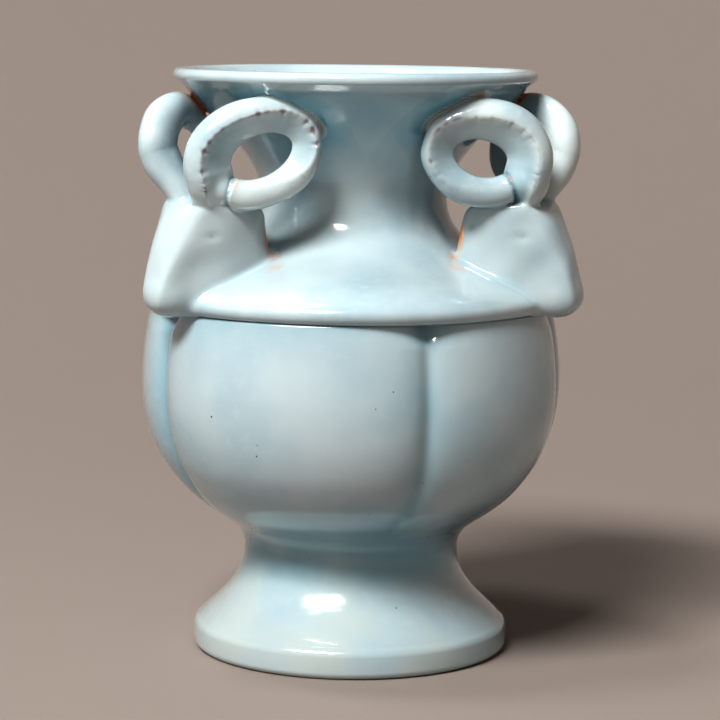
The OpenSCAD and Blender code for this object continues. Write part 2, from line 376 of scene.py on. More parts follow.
@dataclass
class VaseSizes:
    """Sizes that the pieces share, read from the frame.

    Attributes:
        foot_r: Radius of the foot.
        waist_z: Height of the joint between foot and bowl.
        joint_z: Height of the joint between bowl and collar.
        height: Height of the rim.
        ledge_r: Radius of the collar's ledge.
        bowl_r: Radius of the bowl.
        nose_x: How far a nose stands out from the axis.
        waist_r: Radius of the waist.
        neck_r: Radius of the neck.
        neck_z: Height of the narrow of the neck.
        rim_r: Radius of the rim.
        lip_h: Thickness of the lip.
        wall: Wall of the collar.
    """

    foot_r: float
    waist_z: float
    joint_z: float
    height: float
    ledge_r: float
    bowl_r: float
    nose_x: float
    waist_r: float = 50.0
    neck_r: float = 43.0
    neck_z: float = 211.0
    rim_r: float = 84.0
    lip_h: float = 6.0
    wall: float = 6.5

    @classmethod
    def from_frame(cls) -> "VaseSizes":
        """Reads the sizes from the boxes of the frame's nodes.

        Returns:
            The sizes, in millimetres.
        """
        foot, bowl, collar, nose = (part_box(n) for n in ("foot", "bowl", "collar", "head_back"))
        return cls(
            foot_r=foot[1][0] / MM,
            waist_z=foot[1][2] / MM,
            joint_z=bowl[1][2] / MM,
            height=collar[1][2] / MM,
            ledge_r=collar[1][0] / MM,
            bowl_r=98.8,
            nose_x=nose[1][1] / MM,
        )


# ---------------------------------------------------------------- meshes


def add_object(name: str, mesh: Mesh) -> Piece:
    """Puts a mesh into the scene as an object at the origin.

    Args:
        name: Name of the object.
        mesh: The mesh.

    Returns:
        The object.
    """
    obj = bpy.data.objects.new(name, mesh)
    bpy.context.scene.collection.objects.link(obj)
    return obj


def make_mesh(name: str, points: Array, quads: Array) -> Mesh:
    """Makes a smooth mesh of four-sided faces.

    Args:
        name: Name of the mesh.
        points: Corners in millimetres.
        quads: Four corner numbers for each face.

    Returns:
        The mesh, in metres.
    """
    mesh = bpy.data.meshes.new(name)
    mesh.vertices.add(len(points))
    mesh.vertices.foreach_set("co", (points * MM).astype(np.float32).ravel())
    mesh.loops.add(quads.size)
    mesh.loops.foreach_set("vertex_index", quads.astype(np.int32).ravel())
    mesh.polygons.add(len(quads))
    mesh.polygons.foreach_set("loop_start", np.arange(0, quads.size, 4, dtype=np.int32))
    mesh.update(calc_edges=True)
    mesh.validate()
    mesh.shade_smooth()
    return mesh


def mesh_points(mesh: Mesh) -> Array:
    """Reads a mesh's corners, in millimetres.

    Args:
        mesh: The mesh.

    Returns:
        One row for each corner.
    """
    p = np.empty(len(mesh.vertices) * 3, np.float32)
    mesh.vertices.foreach_get("co", p)
    return p.reshape(-1, 3).astype(float) / MM


def set_marks(mesh: Mesh, **marks: Array) -> None:
    """Stores what the glaze reads: one number from 0 to 1 for each corner.

    Args:
        mesh: The mesh.
        **marks: Values of each mark: pool (deep glaze and painted shade), crevice (grime and painted shade in
                 joints), bare and thin.
    """
    for name, values in marks.items():
        layer = mesh.attributes.new(name, "FLOAT", "POINT")
        layer.data.foreach_set("value", np.clip(values, 0.0, 1.0).astype(np.float32))


CORNERS = np.array([[i, j, k] for i in (0, 1) for j in (0, 1) for k in (0, 1)])
EDGES = [(a, b) for a in range(8) for b in range(a + 1, 8) if np.abs(CORNERS[a] - CORNERS[b]).sum() == 1]


class FieldMesher:
    """Turns a distance field into a closed mesh of even four-sided faces."""

    def __init__(self, cell: float) -> None:
        """Sets the size of the mesh's faces, in millimetres."""
        self.cell = cell

    def mesh(self, field_at: "Field", low: Array, high: Array) -> tuple[Array, Array]:
        """Meshes the surface where the field is zero.

        Args:
            field_at: Gives the distance at points; it is negative inside.
            low: Lowest corner of the space searched.
            high: Highest corner of the space searched.

        Returns:
            The corners and the four-sided faces.
        """
        values, shape = self._sample(field_at, low, high)
        points, quads = self._largest(*self._net(self._heal(values), shape, low))
        for _ in range(2):
            points = self._relax(self._settle(field_at, points), quads)
        points = self._settle(field_at, points)
        return self._settle(field_at, points), quads

    def _sample(self, field_at: "Field", low: Array, high: Array) -> tuple[Array, Array]:
        """Samples the field on a grid, finely only where the surface may be.

        Args:
            field_at: Gives the distance at points.
            low: Lowest corner.
            high: Highest corner.

        Returns:
            The distances on the grid and the grid's shape.
        """
        block = 4
        coarse = self.cell * block
        n = np.ceil((high - low) / coarse).astype(int) + 1
        centres = np.stack(np.meshgrid(*[np.arange(k) for k in n], indexing="ij"), -1).reshape(-1, 3)
        rough = field_at(low + (centres + 0.5) * coarse - self.cell / 2)
        near = np.abs(rough) < coarse * 1.15
        values = np.broadcast_to(rough.reshape(*n, 1, 1, 1), (*n, block, block, block)).copy()
        inner = np.stack(np.meshgrid(*[np.arange(block)] * 3, indexing="ij"), -1).reshape(1, -1, 3)
        fine = (centres[near][:, None] * block + inner).reshape(-1, 3)
        values.reshape(-1, block**3)[near] = field_at(low + fine * self.cell).reshape(-1, block**3)
        shape = n * block
        return values.transpose(0, 3, 1, 4, 2, 5).reshape(shape), shape

    def _heal(self, values: Array) -> Array:
        """Fills pits and drops crumbs that are a step wide, and closes the shape at the grid's border.

        Args:
            values: Distances on the grid.

        Returns:
            The mended distances.
        """
        edge = np.ones(values.shape, bool)
        edge[1:-1, 1:-1, 1:-1] = False
        values = np.where(edge, np.maximum(values, self.cell / 2), values)
        small = 0.02 * self.cell
        for _ in range(3):
            inside = values < 0
            around = sum(np.roll(inside, step, axis).astype(np.int8) for axis in range(3) for step in (1, -1))
            values = np.where(~inside & (around >= 5), -small, values)
            values = np.where(inside & (around <= 1), small, values)
        return values

    def _largest(self, points: Array, quads: Array) -> tuple[Array, Array]:
        """Keeps the largest shell.

        Args:
            points: Corners.
            quads: Faces.

        Returns:
            Corners and faces of the largest shell.
        """
        label = np.arange(len(points))
        while True:
            new = label.copy()
            np.minimum.at(new, quads.ravel(), np.repeat(label[quads].min(1), 4))
            new = new[new]
            if (new == label).all():
                break
            label = new
        kept = label == np.bincount(label[quads[:, 0]]).argmax()
        number = np.cumsum(kept) - 1
        return points[kept], number[quads[kept[quads[:, 0]]]]

    def _net(self, values: Array, shape: Array, low: Array) -> tuple[Array, Array]:
        """Places a corner in each cell that the surface crosses and joins neighbours.

        Args:
            values: Distances on the grid.
            shape: The grid's shape.
            low: Lowest corner.

        Returns:
            Corners and faces.
        """
        inside = values < 0
        x, y, z = shape - 1
        count = sum(inside[i : x + i, j : y + j, k : z + k].astype(np.int8) for i, j, k in CORNERS)
        cells = np.argwhere((count > 0) & (count < 8))
        number = np.full(tuple(shape - 1), -1)
        number[tuple(cells.T)] = np.arange(len(cells))
        v = np.stack([values[tuple((cells + c).T)] for c in CORNERS], 1)
        total = np.zeros((len(cells), 3))
        hits = np.zeros((len(cells), 1))
        for a, b in EDGES:
            cross = (v[:, a] < 0) != (v[:, b] < 0)
            t = np.where(cross, v[:, a] / np.where(cross, v[:, a] - v[:, b], 1.0), 0.0)[:, None]
            total += np.where(cross[:, None], CORNERS[a] + t * (CORNERS[b] - CORNERS[a]), 0.0)
            hits += cross[:, None]
        points = low + (cells + total / hits) * self.cell
        quads = []
        for axis in range(3):
            d = np.eye(3, dtype=int)[axis]
            e, f = np.eye(3, dtype=int)[(axis + 1) % 3], np.eye(3, dtype=int)[(axis + 2) % 3]
            a = inside[: shape[0] - d[0], : shape[1] - d[1], : shape[2] - d[2]]
            b = inside[d[0] :, d[1] :, d[2] :]
            edges = np.argwhere(a != b)
            edges = edges[((edges - e - f) >= 0).all(1) & (edges < shape - 1).all(1)]
            out = a[tuple(edges.T)]
            ring = [number[tuple((edges - s).T)] for s in (e * 0, e, e + f, f)]
            q = np.stack(ring, 1)
            q[~out] = q[~out][:, ::-1]
            quads.append(q)
        faces = np.concatenate(quads)
        return points, faces[(faces >= 0).all(1)]

    def _settle(self, field_at: "Field", points: Array) -> Array:
        """Moves corners on to the surface along the field's slope.

        Args:
            field_at: Gives the distance at points.
            points: Corners.

        Returns:
            The moved corners.
        """
        h = 0.05
        here = field_at(points)
        slope = np.stack([(field_at(points + h * d) - here) / h for d in np.eye(3)], 1)
        move = here[:, None] * slope / np.maximum((slope**2).sum(1), 0.05)[:, None]
        size = np.linalg.norm(move, axis=1)[:, None]
        return points - move * np.minimum(1.0, self.cell / np.maximum(size, 1e-9))

    def _relax(self, points: Array, quads: Array) -> Array:
        """Evens out the faces by drawing each corner towards its neighbours.

        Args:
            points: Corners.
            quads: Faces.

        Returns:
            The moved corners.
        """
        total = np.zeros_like(points)
        n = np.zeros(len(points))
        for k in range(4):
            a, b = quads[:, k], quads[:, (k + 1) % 4]
            for i, j in ((a, b), (b, a)):
                for c in range(3):
                    total[:, c] += np.bincount(i, points[j, c], len(points))
                n += np.bincount(i, minlength=len(points))
        return points + 0.5 * (total / np.maximum(n, 1)[:, None] - points)


# ---------------------------------------------------------------- turned pieces


class Grooves(Enum):
    """Middle of each groove between two lobes of the bowl, in degrees from the front towards the right."""

    FAR_LEFT = -71.0
    MIDDLE = 15.0
    RIGHT = 76.0
    BACK_RIGHT = 147.0
    BACK_LEFT = 218.0


class TurningTree(NodeKit):
    """Geometry Nodes tree that turns an outline about the upright axis and presses grooves into it.

    The outline is a row of points: X is the radius, Z the height, and Y says how deep the grooves bite there.
    """

    def __init__(self) -> None:
        """Builds the tree."""
        super().__init__(bpy.data.node_groups.new("Turned clay", "GeometryNodeTree"))
        self.ids: dict[str, str] = {}
        for name, kind, value in (
            ("Outline", "Geometry", None),
            ("Columns", "Int", 360),
            ("Groove half angle", "Float", 5.0),
            ("Groove sweep", "Float", 7.0),
            ("Base height", "Float", 0.047),
            ("Body height", "Float", 0.115),
            ("Waver", "Float", 0.00022),
            ("Waver size", "Float", 0.07),
            *((self.groove_name(g), "Float", g.value) for g in Grooves),
            ("Finish", "Material", None),
        ):
            kind = "NodeSocket" + kind
            socket = self.tree.interface.new_socket(name=name, in_out="INPUT", socket_type=kind)
            if value is not None:
                socket.default_value = value
            self.ids[name] = socket.identifier
        self.tree.interface.new_socket(name="Clay", in_out="OUTPUT", socket_type="NodeSocketGeometry")
        self._wire()

    @staticmethod
    def groove_name(groove: Grooves) -> str:
        """Names the input that turns a groove."""
        return "Groove " + groove.name.lower().replace("_", " ")

    def _point(self, x: Socket, y: Socket, z: Socket) -> Socket:
        """Makes a place out of three numbers."""
        return self.add("ShaderNodeCombineXYZ", {0: x, 1: y, 2: z}).outputs[0]

    def _wire(self) -> None:
        """Joins the nodes: a grid is laid out, wrapped round the axis, grooved, wavered and closed."""
        given = self.add("NodeGroupInput").outputs
        size = self.add("GeometryNodeAttributeDomainSize", {"Geometry": given["Outline"]}, component="MESH")
        rows = size.outputs["Point Count"]
        across = self.math("ADD", given["Columns"], 1)
        grid = self.add("GeometryNodeMeshGrid", {"Vertices X": across, "Vertices Y": rows})
        index = self.add("GeometryNodeInputIndex").outputs[0]
        row = self.math("MODULO", index, rows)
        column = self.math("FLOOR", self.math("DIVIDE", self.math("ADD", index, 0.5), rows))
        turn = self.times(self.math("DIVIDE", column, given["Columns"]), 2 * math.pi)
        place = self.add("GeometryNodeInputPosition").outputs[0]
        taken = self.add(
            "GeometryNodeSampleIndex",
            {"Geometry": given["Outline"], "Value": place, "Index": row},
            data_type="FLOAT_VECTOR",
            domain="POINT",
        )
        xyz = self.add("ShaderNodeSeparateXYZ", {0: taken.outputs["Value"]}).outputs
        bite = self.times(xyz["Y"], self._valley(given, turn, xyz["Z"]))
        radius = self.math("SUBTRACT", xyz["X"], bite)
        side, front = self.math("SINE", turn), self.times(self.math("COSINE", turn), -1.0)
        spot = self._point(self.times(side, radius), self.times(front, radius), xyz["Z"])
        fineness = self.math("DIVIDE", 1.0, given["Waver size"])
        noise = self.add("ShaderNodeTexNoise", {"Vector": spot, "Scale": fineness, "Detail": 1.0})
        swing = self.math("SUBTRACT", noise.outputs["Fac"], 0.5)
        shift = self.times(swing, self.times(given["Waver"], 2.0))
        hem = self.math("MINIMUM", self.times(radius, 50.0), 1.0)
        shift = self.times(shift, hem)
        push = self._point(self.times(side, shift), self.times(front, shift), shift)
        final = self.add("ShaderNodeVectorMath", {0: spot, 1: push}, operation="ADD").outputs[0]
        clay = self.add("GeometryNodeSetPosition", {"Geometry": grid.outputs["Mesh"], "Position": final})
        clay = self.add("GeometryNodeMergeByDistance", {"Geometry": clay.outputs[0], "Distance": 2e-6})
        clay = self.add("GeometryNodeRealizeInstances", {"Geometry": clay.outputs[0]})
        clay = self.add("GeometryNodeSetMaterial", {"Geometry": clay.outputs[0], "Material": given["Finish"]})
        self.add("NodeGroupOutput", {0: clay.outputs[0]})

    def _valley(self, given: bpy.types.bpy_prop_collection, turn: Socket, height: Socket) -> Socket:
        """Presses the grooves in; they sweep aside near the base.

        Args:
            given: The tree's inputs.
            turn: Angle about the axis.
            height: Height of the point.

        Returns:
            1 in the middle of a groove, falling to 0 on the lobes.
        """
        share = self.math("DIVIDE", self.math("SUBTRACT", height, given["Base height"]), given["Body height"])
        low = self.math("MAXIMUM", self.math("SUBTRACT", 0.45, share), 0.0)
        sweep = self.times(self.times(self.math("POWER", low, 2.0), 6.0), given["Groove sweep"])
        half_angle = self.math("RADIANS", given["Groove half angle"])
        deepest = None
        for g in Grooves:
            middle = self.math("RADIANS", self.math("SUBTRACT", given[self.groove_name(g)], sweep))
            apart = self.math("WRAP", self.math("SUBTRACT", turn, middle), math.pi, -math.pi)
            steep = self.math("DIVIDE", apart, half_angle)
            square = self.times(steep, steep)
            crease, hollow = (self.math("ADD", self.times(square, pinch), 1.0) for pinch in (2.2, 0.22))
            dip = self.math("ADD", self.math("DIVIDE", 0.5, crease), self.math("DIVIDE", 0.5, hollow))
            deepest = dip if deepest is None else self.math("MAXIMUM", deepest, dip)
        return deepest

    def turn(self, name: str, outline: Array, finish: Material, **sizes: float) -> Piece:
        """Turns an outline into a plain closed mesh.

        Args:
            name: Name of the piece.
            outline: Radius, groove bite and height of each point, in millimetres.
            finish: Material of the piece.
            **sizes: Values for the tree's other inputs, named with underscores.

        Returns:
            The piece, with no modifier left on it.
        """
        line = bpy.data.meshes.new(name + "_outline")
        n = len(outline)
        line.from_pydata((outline * MM).tolist(), [(i, i + 1) for i in range(n - 1)], [])
        guide = add_object(name + "_outline", line)
        mod = guide.modifiers.new("turn", "NODES")
        mod.node_group = self.tree
        for key, v in sizes.items():
            mod[self.ids[key.replace("_", " ").capitalize()]] = v
        mod[self.ids["Finish"]] = finish
        deps = bpy.context.evaluated_depsgraph_get()
        mesh = bpy.data.meshes.new_from_object(guide.evaluated_get(deps), depsgraph=deps)
        mesh.name = name
        bpy.data.objects.remove(guide)
        mesh.shade_smooth()
        face_outwards(mesh)
        return add_object(name, mesh)


def face_outwards(mesh: Mesh) -> None:
    """Turns a closed mesh right side out.

    Args:
        mesh: The closed mesh.
    """
    mesh.calc_loop_triangles()
    p = mesh_points(mesh)
    tri = np.empty(len(mesh.loop_triangles) * 3, np.int32)
    mesh.loop_triangles.foreach_get("vertices", tri)
    a, b, c = (p[tri.reshape(-1, 3)[:, k]] for k in range(3))
    if np.einsum("ij,ij->i", a, np.cross(b, c)).sum() < 0:
        mesh.flip_normals()


@dataclass
class Pedestal:
    """The spreading foot, hollow underneath.

    Attributes:
        sizes: Sizes shared with the other pieces.
        edge_h: Height of the upright edge.
        round_r: Rounding of the edge.
        ring_w: Width of the ring that it stands on.
        bore_r: Radius of the bore that takes the bowl's spigot.
        columns: Facets round it.
    """

    sizes: VaseSizes
    edge_h: float = 14.0
    round_r: float = 3.4
    ring_w: float = 10.0
    bore_r: float = 41.0
    columns: int = 360

    def outline(self) -> Array:
        """Gives the outline, closed, from the inner edge of the ring round the outside and back up inside.

        Returns:
            Radius, groove bite and height of each point.
        """
        s = self.sizes
        rest = s.foot_r - self.round_r
        inner = rest - self.ring_w
        bore = self.bore_r
        line = np.vstack(
            [
                spread(np.array([[inner + 1.2, 0.0], [rest - 0.8, 0.0]]), 1.5),
                arc((rest, self.round_r), self.round_r, -80, 0, 9),
                arc((rest - 1.6, self.edge_h - 4.2), self.round_r + 1.6, 4, 46, 9),
                spread(
                    cubic(
                        (s.foot_r - 2.3, self.edge_h - 0.1),
                        (s.foot_r - 8.5, self.edge_h + 7.2),
                        (s.waist_r + 0.9, s.waist_z - 17.0),
                        (s.waist_r, s.waist_z - 1.0),
                        60,
                    ),
                    1.2,
                ),
                waist_line(s, s.waist_z, s.waist_z + 5.0),
                [[bore + 3.0, s.waist_z + 5.0], [bore, s.waist_z + 3.0], [bore, s.waist_z - 10.0]],
                cubic(
                    (bore, s.waist_z - 11.0),
                    (bore, s.waist_z * 0.5),
                    (inner - 12.0, self.edge_h + 4.0),
                    (inner - 1.0, 1.2),
                    24,
                ),
                [[inner - 1.0, 1.2], [inner + 1.2, 0.0]],
            ]
        )
        return np.stack([line[:, 0], np.zeros(len(line)), line[:, 1]], 1)

    def build(self, tree: TurningTree, finish: Material) -> Piece:
        """Turns the foot and dresses it.

        Args:
            tree: The tree that turns outlines.
            finish: Material of the foot.

        Returns:
            The piece.
        """
        piece = tree.turn("pedestal", self.outline(), finish, columns=self.columns)
        z = mesh_points(piece.data)[:, 2]
        # painted shade round the waist, where foot and bowl meet, along with glaze lying deep
        pool = 0.6 * bell(z - self.sizes.waist_z, 9)
        # painted contact shadow and grime along the standing edge, with bare clay there
        crevice, bare = 0.7 * np.exp(-z / 0.7), 0.9 * np.exp(-z / 0.8)
        set_marks(piece.data, pool=pool, crevice=crevice, bare=bare, thin=0 * z)
        return piece


def waist_line(s: VaseSizes, low: float, high: float) -> Array:
    """Runs up the waist, which foot and bowl share, and sinks under the other piece's skin past the joint.

    Args:
        s: Sizes of the vase.
        low: Where the stretch starts.
        high: Where it ends.

    Returns:
        Radius and height of each point.
    """
    z = np.linspace(low, high, 7)
    up = np.maximum(z - s.waist_z, 0.0)
    down = np.maximum(s.waist_z - z, 0.0)
    past = up if high > s.waist_z else down
    r = s.waist_r + 0.012 * up**2 + 0.008 * down**2
    return np.stack([r - (past / 5.0) ** 2, z], 1)


@dataclass
class LobedBowl:
    """The deep bowl, pressed into lobes by hand.

    Attributes:
        sizes: Sizes shared with the other pieces.
        bore_r: Radius of its mouth.
        wall: Thickness of its wall.
        floor: Thickness of its floor.
        groove: Depth of the grooves.
        notch: How far the lobes' corners fall back under the collar.
        spigot_r: Radius of the spigot that sits in the foot.
        half_angle: Half width of a groove, in degrees.
        sweep: How far the grooves sweep aside at the base, in degrees.
        columns: Facets round it.
        stations: Shares of the height and of the radius that the outside passes through.
    """

    sizes: VaseSizes
    bore_r: float = 83.3
    wall: float = 7.5
    floor: float = 9.0
    groove: float = 5.4
    notch: float = 4.0
    spigot_r: float = 40.7
    half_angle: float = 4.0
    sweep: float = 8.0
    columns: int = 400
    stations: tuple[Point, ...] = (
        (0.025, 0.507),
        (0.062, 0.522),
        (0.096, 0.552),
        (0.128, 0.602),
        (0.180, 0.694),
        (0.250, 0.794),
        (0.325, 0.869),
        (0.395, 0.922),
        (0.478, 0.962),
        (0.565, 0.986),
        (0.680, 0.997),
        (0.800, 0.990),
        (0.910, 0.973),
        (1.000, 0.954),
    )

    def bite(self, z: Array) -> Array:
        """Says how deep the grooves are at a height: shallow at the waist, deepest under the collar."""
        t = (z - self.sizes.waist_z) / (self.sizes.joint_z - self.sizes.waist_z)
        return self.groove * smoothstep((t - 0.08) / 0.3) + self.notch * smoothstep((t - 0.90) / 0.10)

    def outline(self) -> Array:
        """Gives the outline from the middle of the spigot up the outside, over the edge and down to the floor.

        Returns:
            Radius, groove bite and height of each point.
        """
        s = self.sizes
        h = s.joint_z - s.waist_z
        floor_z = s.waist_z + self.floor
        side = np.array([(s.bowl_r * r, s.waist_z + h * t) for t, r in self.stations])
        side = spread(spline(side, 400), 1.1)
        out = np.gradient(side, axis=0)
        out = np.stack([out[:, 1], -out[:, 0]], 1) / np.linalg.norm(out, axis=1)[:, None]
        inner = side - self.wall * out
        inner = inner[(inner[:, 1] > floor_z + 2.5) & (inner[:, 1] < s.joint_z - 14)]
        lead = waist_line(s, s.waist_z - 5.0, s.waist_z)
        spigot = spread(np.array([[0.0, lead[0, 1]], [self.spigot_r, lead[0, 1]], lead[0]]), 4.0)
        mouth = [[self.bore_r + 4.0, s.joint_z], [self.bore_r, s.joint_z - 0.5], [self.bore_r, s.joint_z - 6.0]]
        inside = spread(np.vstack([[self.bore_r, s.joint_z - 7.0], inner[::-1] - [4.0, 0.0]]), 3.0)
        floor = spread(np.array([[inner[0, 0] - 7.0, floor_z], [0.0, floor_z]]), 5.0)
        line = np.vstack([spigot, lead[1:], side, mouth, inside, floor])
        weight = self.bite(line[:, 1]) * (line[:, 1] >= s.waist_z - 6)
        first = len(spigot)
        last = first + len(lead) - 1 + len(side)
        mark = np.zeros(len(line))
        mark[first:last] = 1.0
        mark[last + len(mouth) : -1] = 0.75
        return np.stack([line[:, 0], weight * mark, line[:, 1]], 1)

    def build(self, tree: TurningTree, finish: Material) -> Piece:
        """Turns the bowl, presses its grooves and dresses it.

        Args:
            tree: The tree that turns outlines.
            finish: Material of the bowl.

        Returns:
            The piece.
        """
        s = self.sizes
        piece = tree.turn(
            "lobed_bowl",
            self.outline(),
            finish,
            columns=self.columns,
            groove_half_angle=self.half_angle,
            groove_sweep=self.sweep,
            base_height=s.waist_z * MM,
            body_height=(s.joint_z - s.waist_z) * MM,
        )
        p = mesh_points(piece.data)
        z = p[:, 2]
        turn = np.degrees(np.arctan2(p[:, 0], -p[:, 1]))
        low = np.maximum(0.45 - (z - s.waist_z) / (s.joint_z - s.waist_z), 0)
        swept = turn + self.sweep * 6 * low**2
        apart = np.min([np.abs((swept - g.value + 180) % 360 - 180) for g in Grooves], axis=0)
        valley = 1 / (1 + (apart / self.half_angle) ** 2) * smoothstep((z - s.waist_z - 8) / 30)
        waist = bell(z - s.waist_z - 4, 10)
        under = np.exp(-(s.joint_z - z) / 2.2)
        low_belly_shade = smoothstep((92.0 - z) / 26.0)
        # painted shade: darker in the grooves, round the waist, towards the bottom of the belly and just under
        # the collar, along with glaze lying deep
        pool = 0.42 * valley + 0.30 * waist + 0.34 * low_belly_shade + 0.25 * np.exp(-(s.joint_z - z) / 6)
        # painted shade and grime just under the collar's ledge, most at the tops of the grooves
        crevice = 0.42 * under + 0.5 * valley * under
        set_marks(piece.data, pool=pool, crevice=crevice, bare=0.55 * under * (0.3 + valley), thin=0 * z)
        return piece


@dataclass
class Collar:
    """Shoulder, neck and flared rim, thrown in one piece and set on the bowl.

    Attributes:
        sizes: Sizes shared with the other pieces.
        ring_r: Radius of the ring that sits in the bowl's mouth.
        ring_w: Width of that ring.
        ring_h: Depth of that ring.
        round_r: Rounding of the ledge.
        columns: Facets round it.
    """

    sizes: VaseSizes
    ring_r: float = 83.0
    ring_w: float = 5.0
    ring_h: float = 5.0
    round_r: float = 4.2
    columns: int = 400

    def outside(self) -> Array:
        """Gives the outside from the joint over the ledge, shoulder, neck and lip.

        Returns:
            Radius and height of each point.
        """
        s = self.sizes
        w = s.ledge_r - s.neck_r
        h = s.neck_z - s.joint_z
        low = s.joint_z + self.round_r
        lip = s.lip_h / 2
        end = (s.rim_r - lip, s.height - s.lip_h + 0.3)
        rise = end[1] - s.neck_z
        middle = (s.neck_r + 0.65 * w, s.joint_z + 0.36 * h)
        neck = (s.neck_r, s.neck_z)
        foot_of_neck = (s.neck_r + 0.32 * w, s.joint_z + 0.52 * h)
        runs = [
            arc((s.ledge_r - self.round_r, low), self.round_r, -90, 0, 14),
            cubic(
                (s.ledge_r, low + 0.2),
                (s.ledge_r, s.joint_z + 0.18 * h),
                (s.neck_r + 0.84 * w, s.joint_z + 0.27 * h),
                middle,
                24,
            ),
            cubic(middle, foot_of_neck, (s.neck_r, s.joint_z + 0.63 * h), neck, 40),
            cubic(neck, (s.neck_r, s.neck_z + 0.36 * rise), (s.rim_r - 18, s.neck_z + 0.62 * rise), end, 40),
            arc((s.rim_r - lip, s.height - lip), lip, -50, 90, 14),
        ]
        return np.vstack(runs)

    def outline(self) -> Array:
        """Gives the whole outline, closed, with the inside one wall behind the outside.

        Returns:
            Radius, groove bite and height of each point.
        """
        s = self.sizes
        outside = self.outside()
        lip = s.lip_h / 2
        neck = outside[38:-14:3] - [s.wall, 0.0]
        low = neck[0]
        ring_in, ring_z = self.ring_r - self.ring_w, s.joint_z - self.ring_h
        top = cubic(
            (s.rim_r - lip, s.height),
            (s.rim_r - 1.7 * lip, s.height),
            (s.rim_r - 2.4 * lip, s.height - 0.6),
            neck[-1],
            8,
        )
        hollow = cubic(low, (low[0] + 12.0, low[1] - 5.0), (ring_in, s.joint_z + 16.0), (ring_in, ring_z), 22)
        ring = [
            [ring_in, ring_z],
            [self.ring_r, ring_z],
            [self.ring_r, s.joint_z],
            [s.ledge_r - self.round_r, s.joint_z],
        ]
        line = np.vstack([outside, top[1:], neck[::-1], hollow[1:], ring])
        return np.stack([line[:, 0], np.zeros(len(line)), line[:, 1]], 1)

    def build(self, tree: TurningTree, finish: Material, heads: list["RamHead"]) -> Piece:
        """Turns the collar and dresses it, with marks where heads and horns meet it and painted shade on its
        neck.

        Args:
            tree: The tree that turns outlines.
            finish: Material of the collar.
            heads: The heads luted to it.

        Returns:
            The piece.
        """
        piece = tree.turn("collar_and_rim", self.outline(), finish, columns=self.columns, waver=0.0002)
        p = mesh_points(piece.data)
        normals = np.empty(len(p) * 3, np.float32)
        piece.data.vertices.foreach_get("normal", normals)
        outside = (p[:, :2] * normals.reshape(-1, 3)[:, :2]).sum(1) > 0
        near, horn = np.full((2, len(p)), 60.0)
        toast = np.zeros(len(p))
        for head in heads:
            q = head.to_head(p)
            close = np.linalg.norm(q - head.middle, axis=1) < head.reach
            parts = head.group.distances(q[close])
            horns = np.minimum(parts["left"], parts["right"])
            near[close] = np.minimum(near[close], np.minimum(parts["head"], horns))
            horn[close] = np.minimum(horn[close], horns)
            toast += head.toasting(q)
        z = p[:, 2]
        neck = smoothstep((z - 194) / 22) * smoothstep((266 - z) / 8) * outside
        # painted shade: the rim's shadow on the upper neck, the horns' shadows beside them, and shade round the
        # heads and horns where they meet the collar, along with glaze lying deep
        pool = neck * (0.04 + 0.42 * smoothstep((z - 226) / 24) + 0.6 * fade(horn, 10))
        pool = pool + 0.5 * outside * fade(near, 4.0)
        rim_touch = (z > 238) * bell(np.maximum(horn, 0), 4.0)
        # painted shade and grime along the seams with heads and horns, and where the horns touch the rim
        crevice = outside * (0.2 * fade(near, 1.1) + 0.42 * rim_touch)
        set_marks(piece.data, pool=pool, crevice=crevice, bare=outside * (toast + 0.5 * rim_touch), thin=0 * z)
        return piece


# ---------------------------------------------------------------- modelled pieces


class Field:
    """A shape given by the distance to its surface, negative inside."""

    def __call__(self, p: Array) -> Array:
        """Gives the distance at each point."""
        raise NotImplementedError


class CollarField(Field):
    """Distance to the collar with its hollow filled, looked up in a table of radius and height."""

    def __init__(self, collar: Collar, step: float = 0.5) -> None:
        """Fills the table.

        Args:
            collar: The collar.
            step: Spacing of the table.
        """
        out = collar.outside()
        ring = np.vstack([[0.0, out[0, 1]], out, [0.0, out[-1, 1]]])
        self.low = np.array([24.0, out[0, 1] - 16.0])
        self.step = step
        n = np.ceil((np.array([130.0, out[-1, 1] + 16.0]) - self.low) / step).astype(int)
        cells = np.stack(np.meshgrid(np.arange(n[0]), np.arange(n[1]), indexing="ij"), -1).reshape(-1, 2)
        g = self.low + step * cells
        a, b = ring[:-1], ring[1:]
        ab = b - a
        best = np.full(len(g), 1e9)
        odd = np.zeros(len(g), bool)
        for i in range(len(a)):
            ap = g - a[i]
            t = np.clip((ap @ ab[i]) / max(ab[i] @ ab[i], 1e-12), 0, 1)[:, None]
            best = np.minimum(best, np.linalg.norm(ap - t * ab[i], axis=1))
            if ab[i, 1] != 0:
                cross = (a[i, 1] > g[:, 1]) != (b[i, 1] > g[:, 1])
                odd ^= cross & (g[:, 0] < a[i, 0] + (g[:, 1] - a[i, 1]) * ab[i, 0] / ab[i, 1])
        self.table = np.where(odd, -best, best).reshape(n)

    def __call__(self, p: Array) -> Array:
        """Looks the distance up.

        Args:
            p: Points, in millimetres.

        Returns:
            The distance at each point.
        """
        uv = (np.stack([np.hypot(p[:, 0], p[:, 1]), p[:, 2]], 1) - self.low) / self.step
        uv = np.clip(uv, 0, np.array(self.table.shape) - 1.001)
        i = uv.astype(int)
        f = uv - i
        t = self.table
        low = t[i[:, 0], i[:, 1]] * (1 - f[:, 0]) + t[i[:, 0] + 1, i[:, 1]] * f[:, 0]
        high = t[i[:, 0], i[:, 1] + 1] * (1 - f[:, 0]) + t[i[:, 0] + 1, i[:, 1] + 1] * f[:, 0]
        return low * (1 - f[:, 1]) + high * f[:, 1]


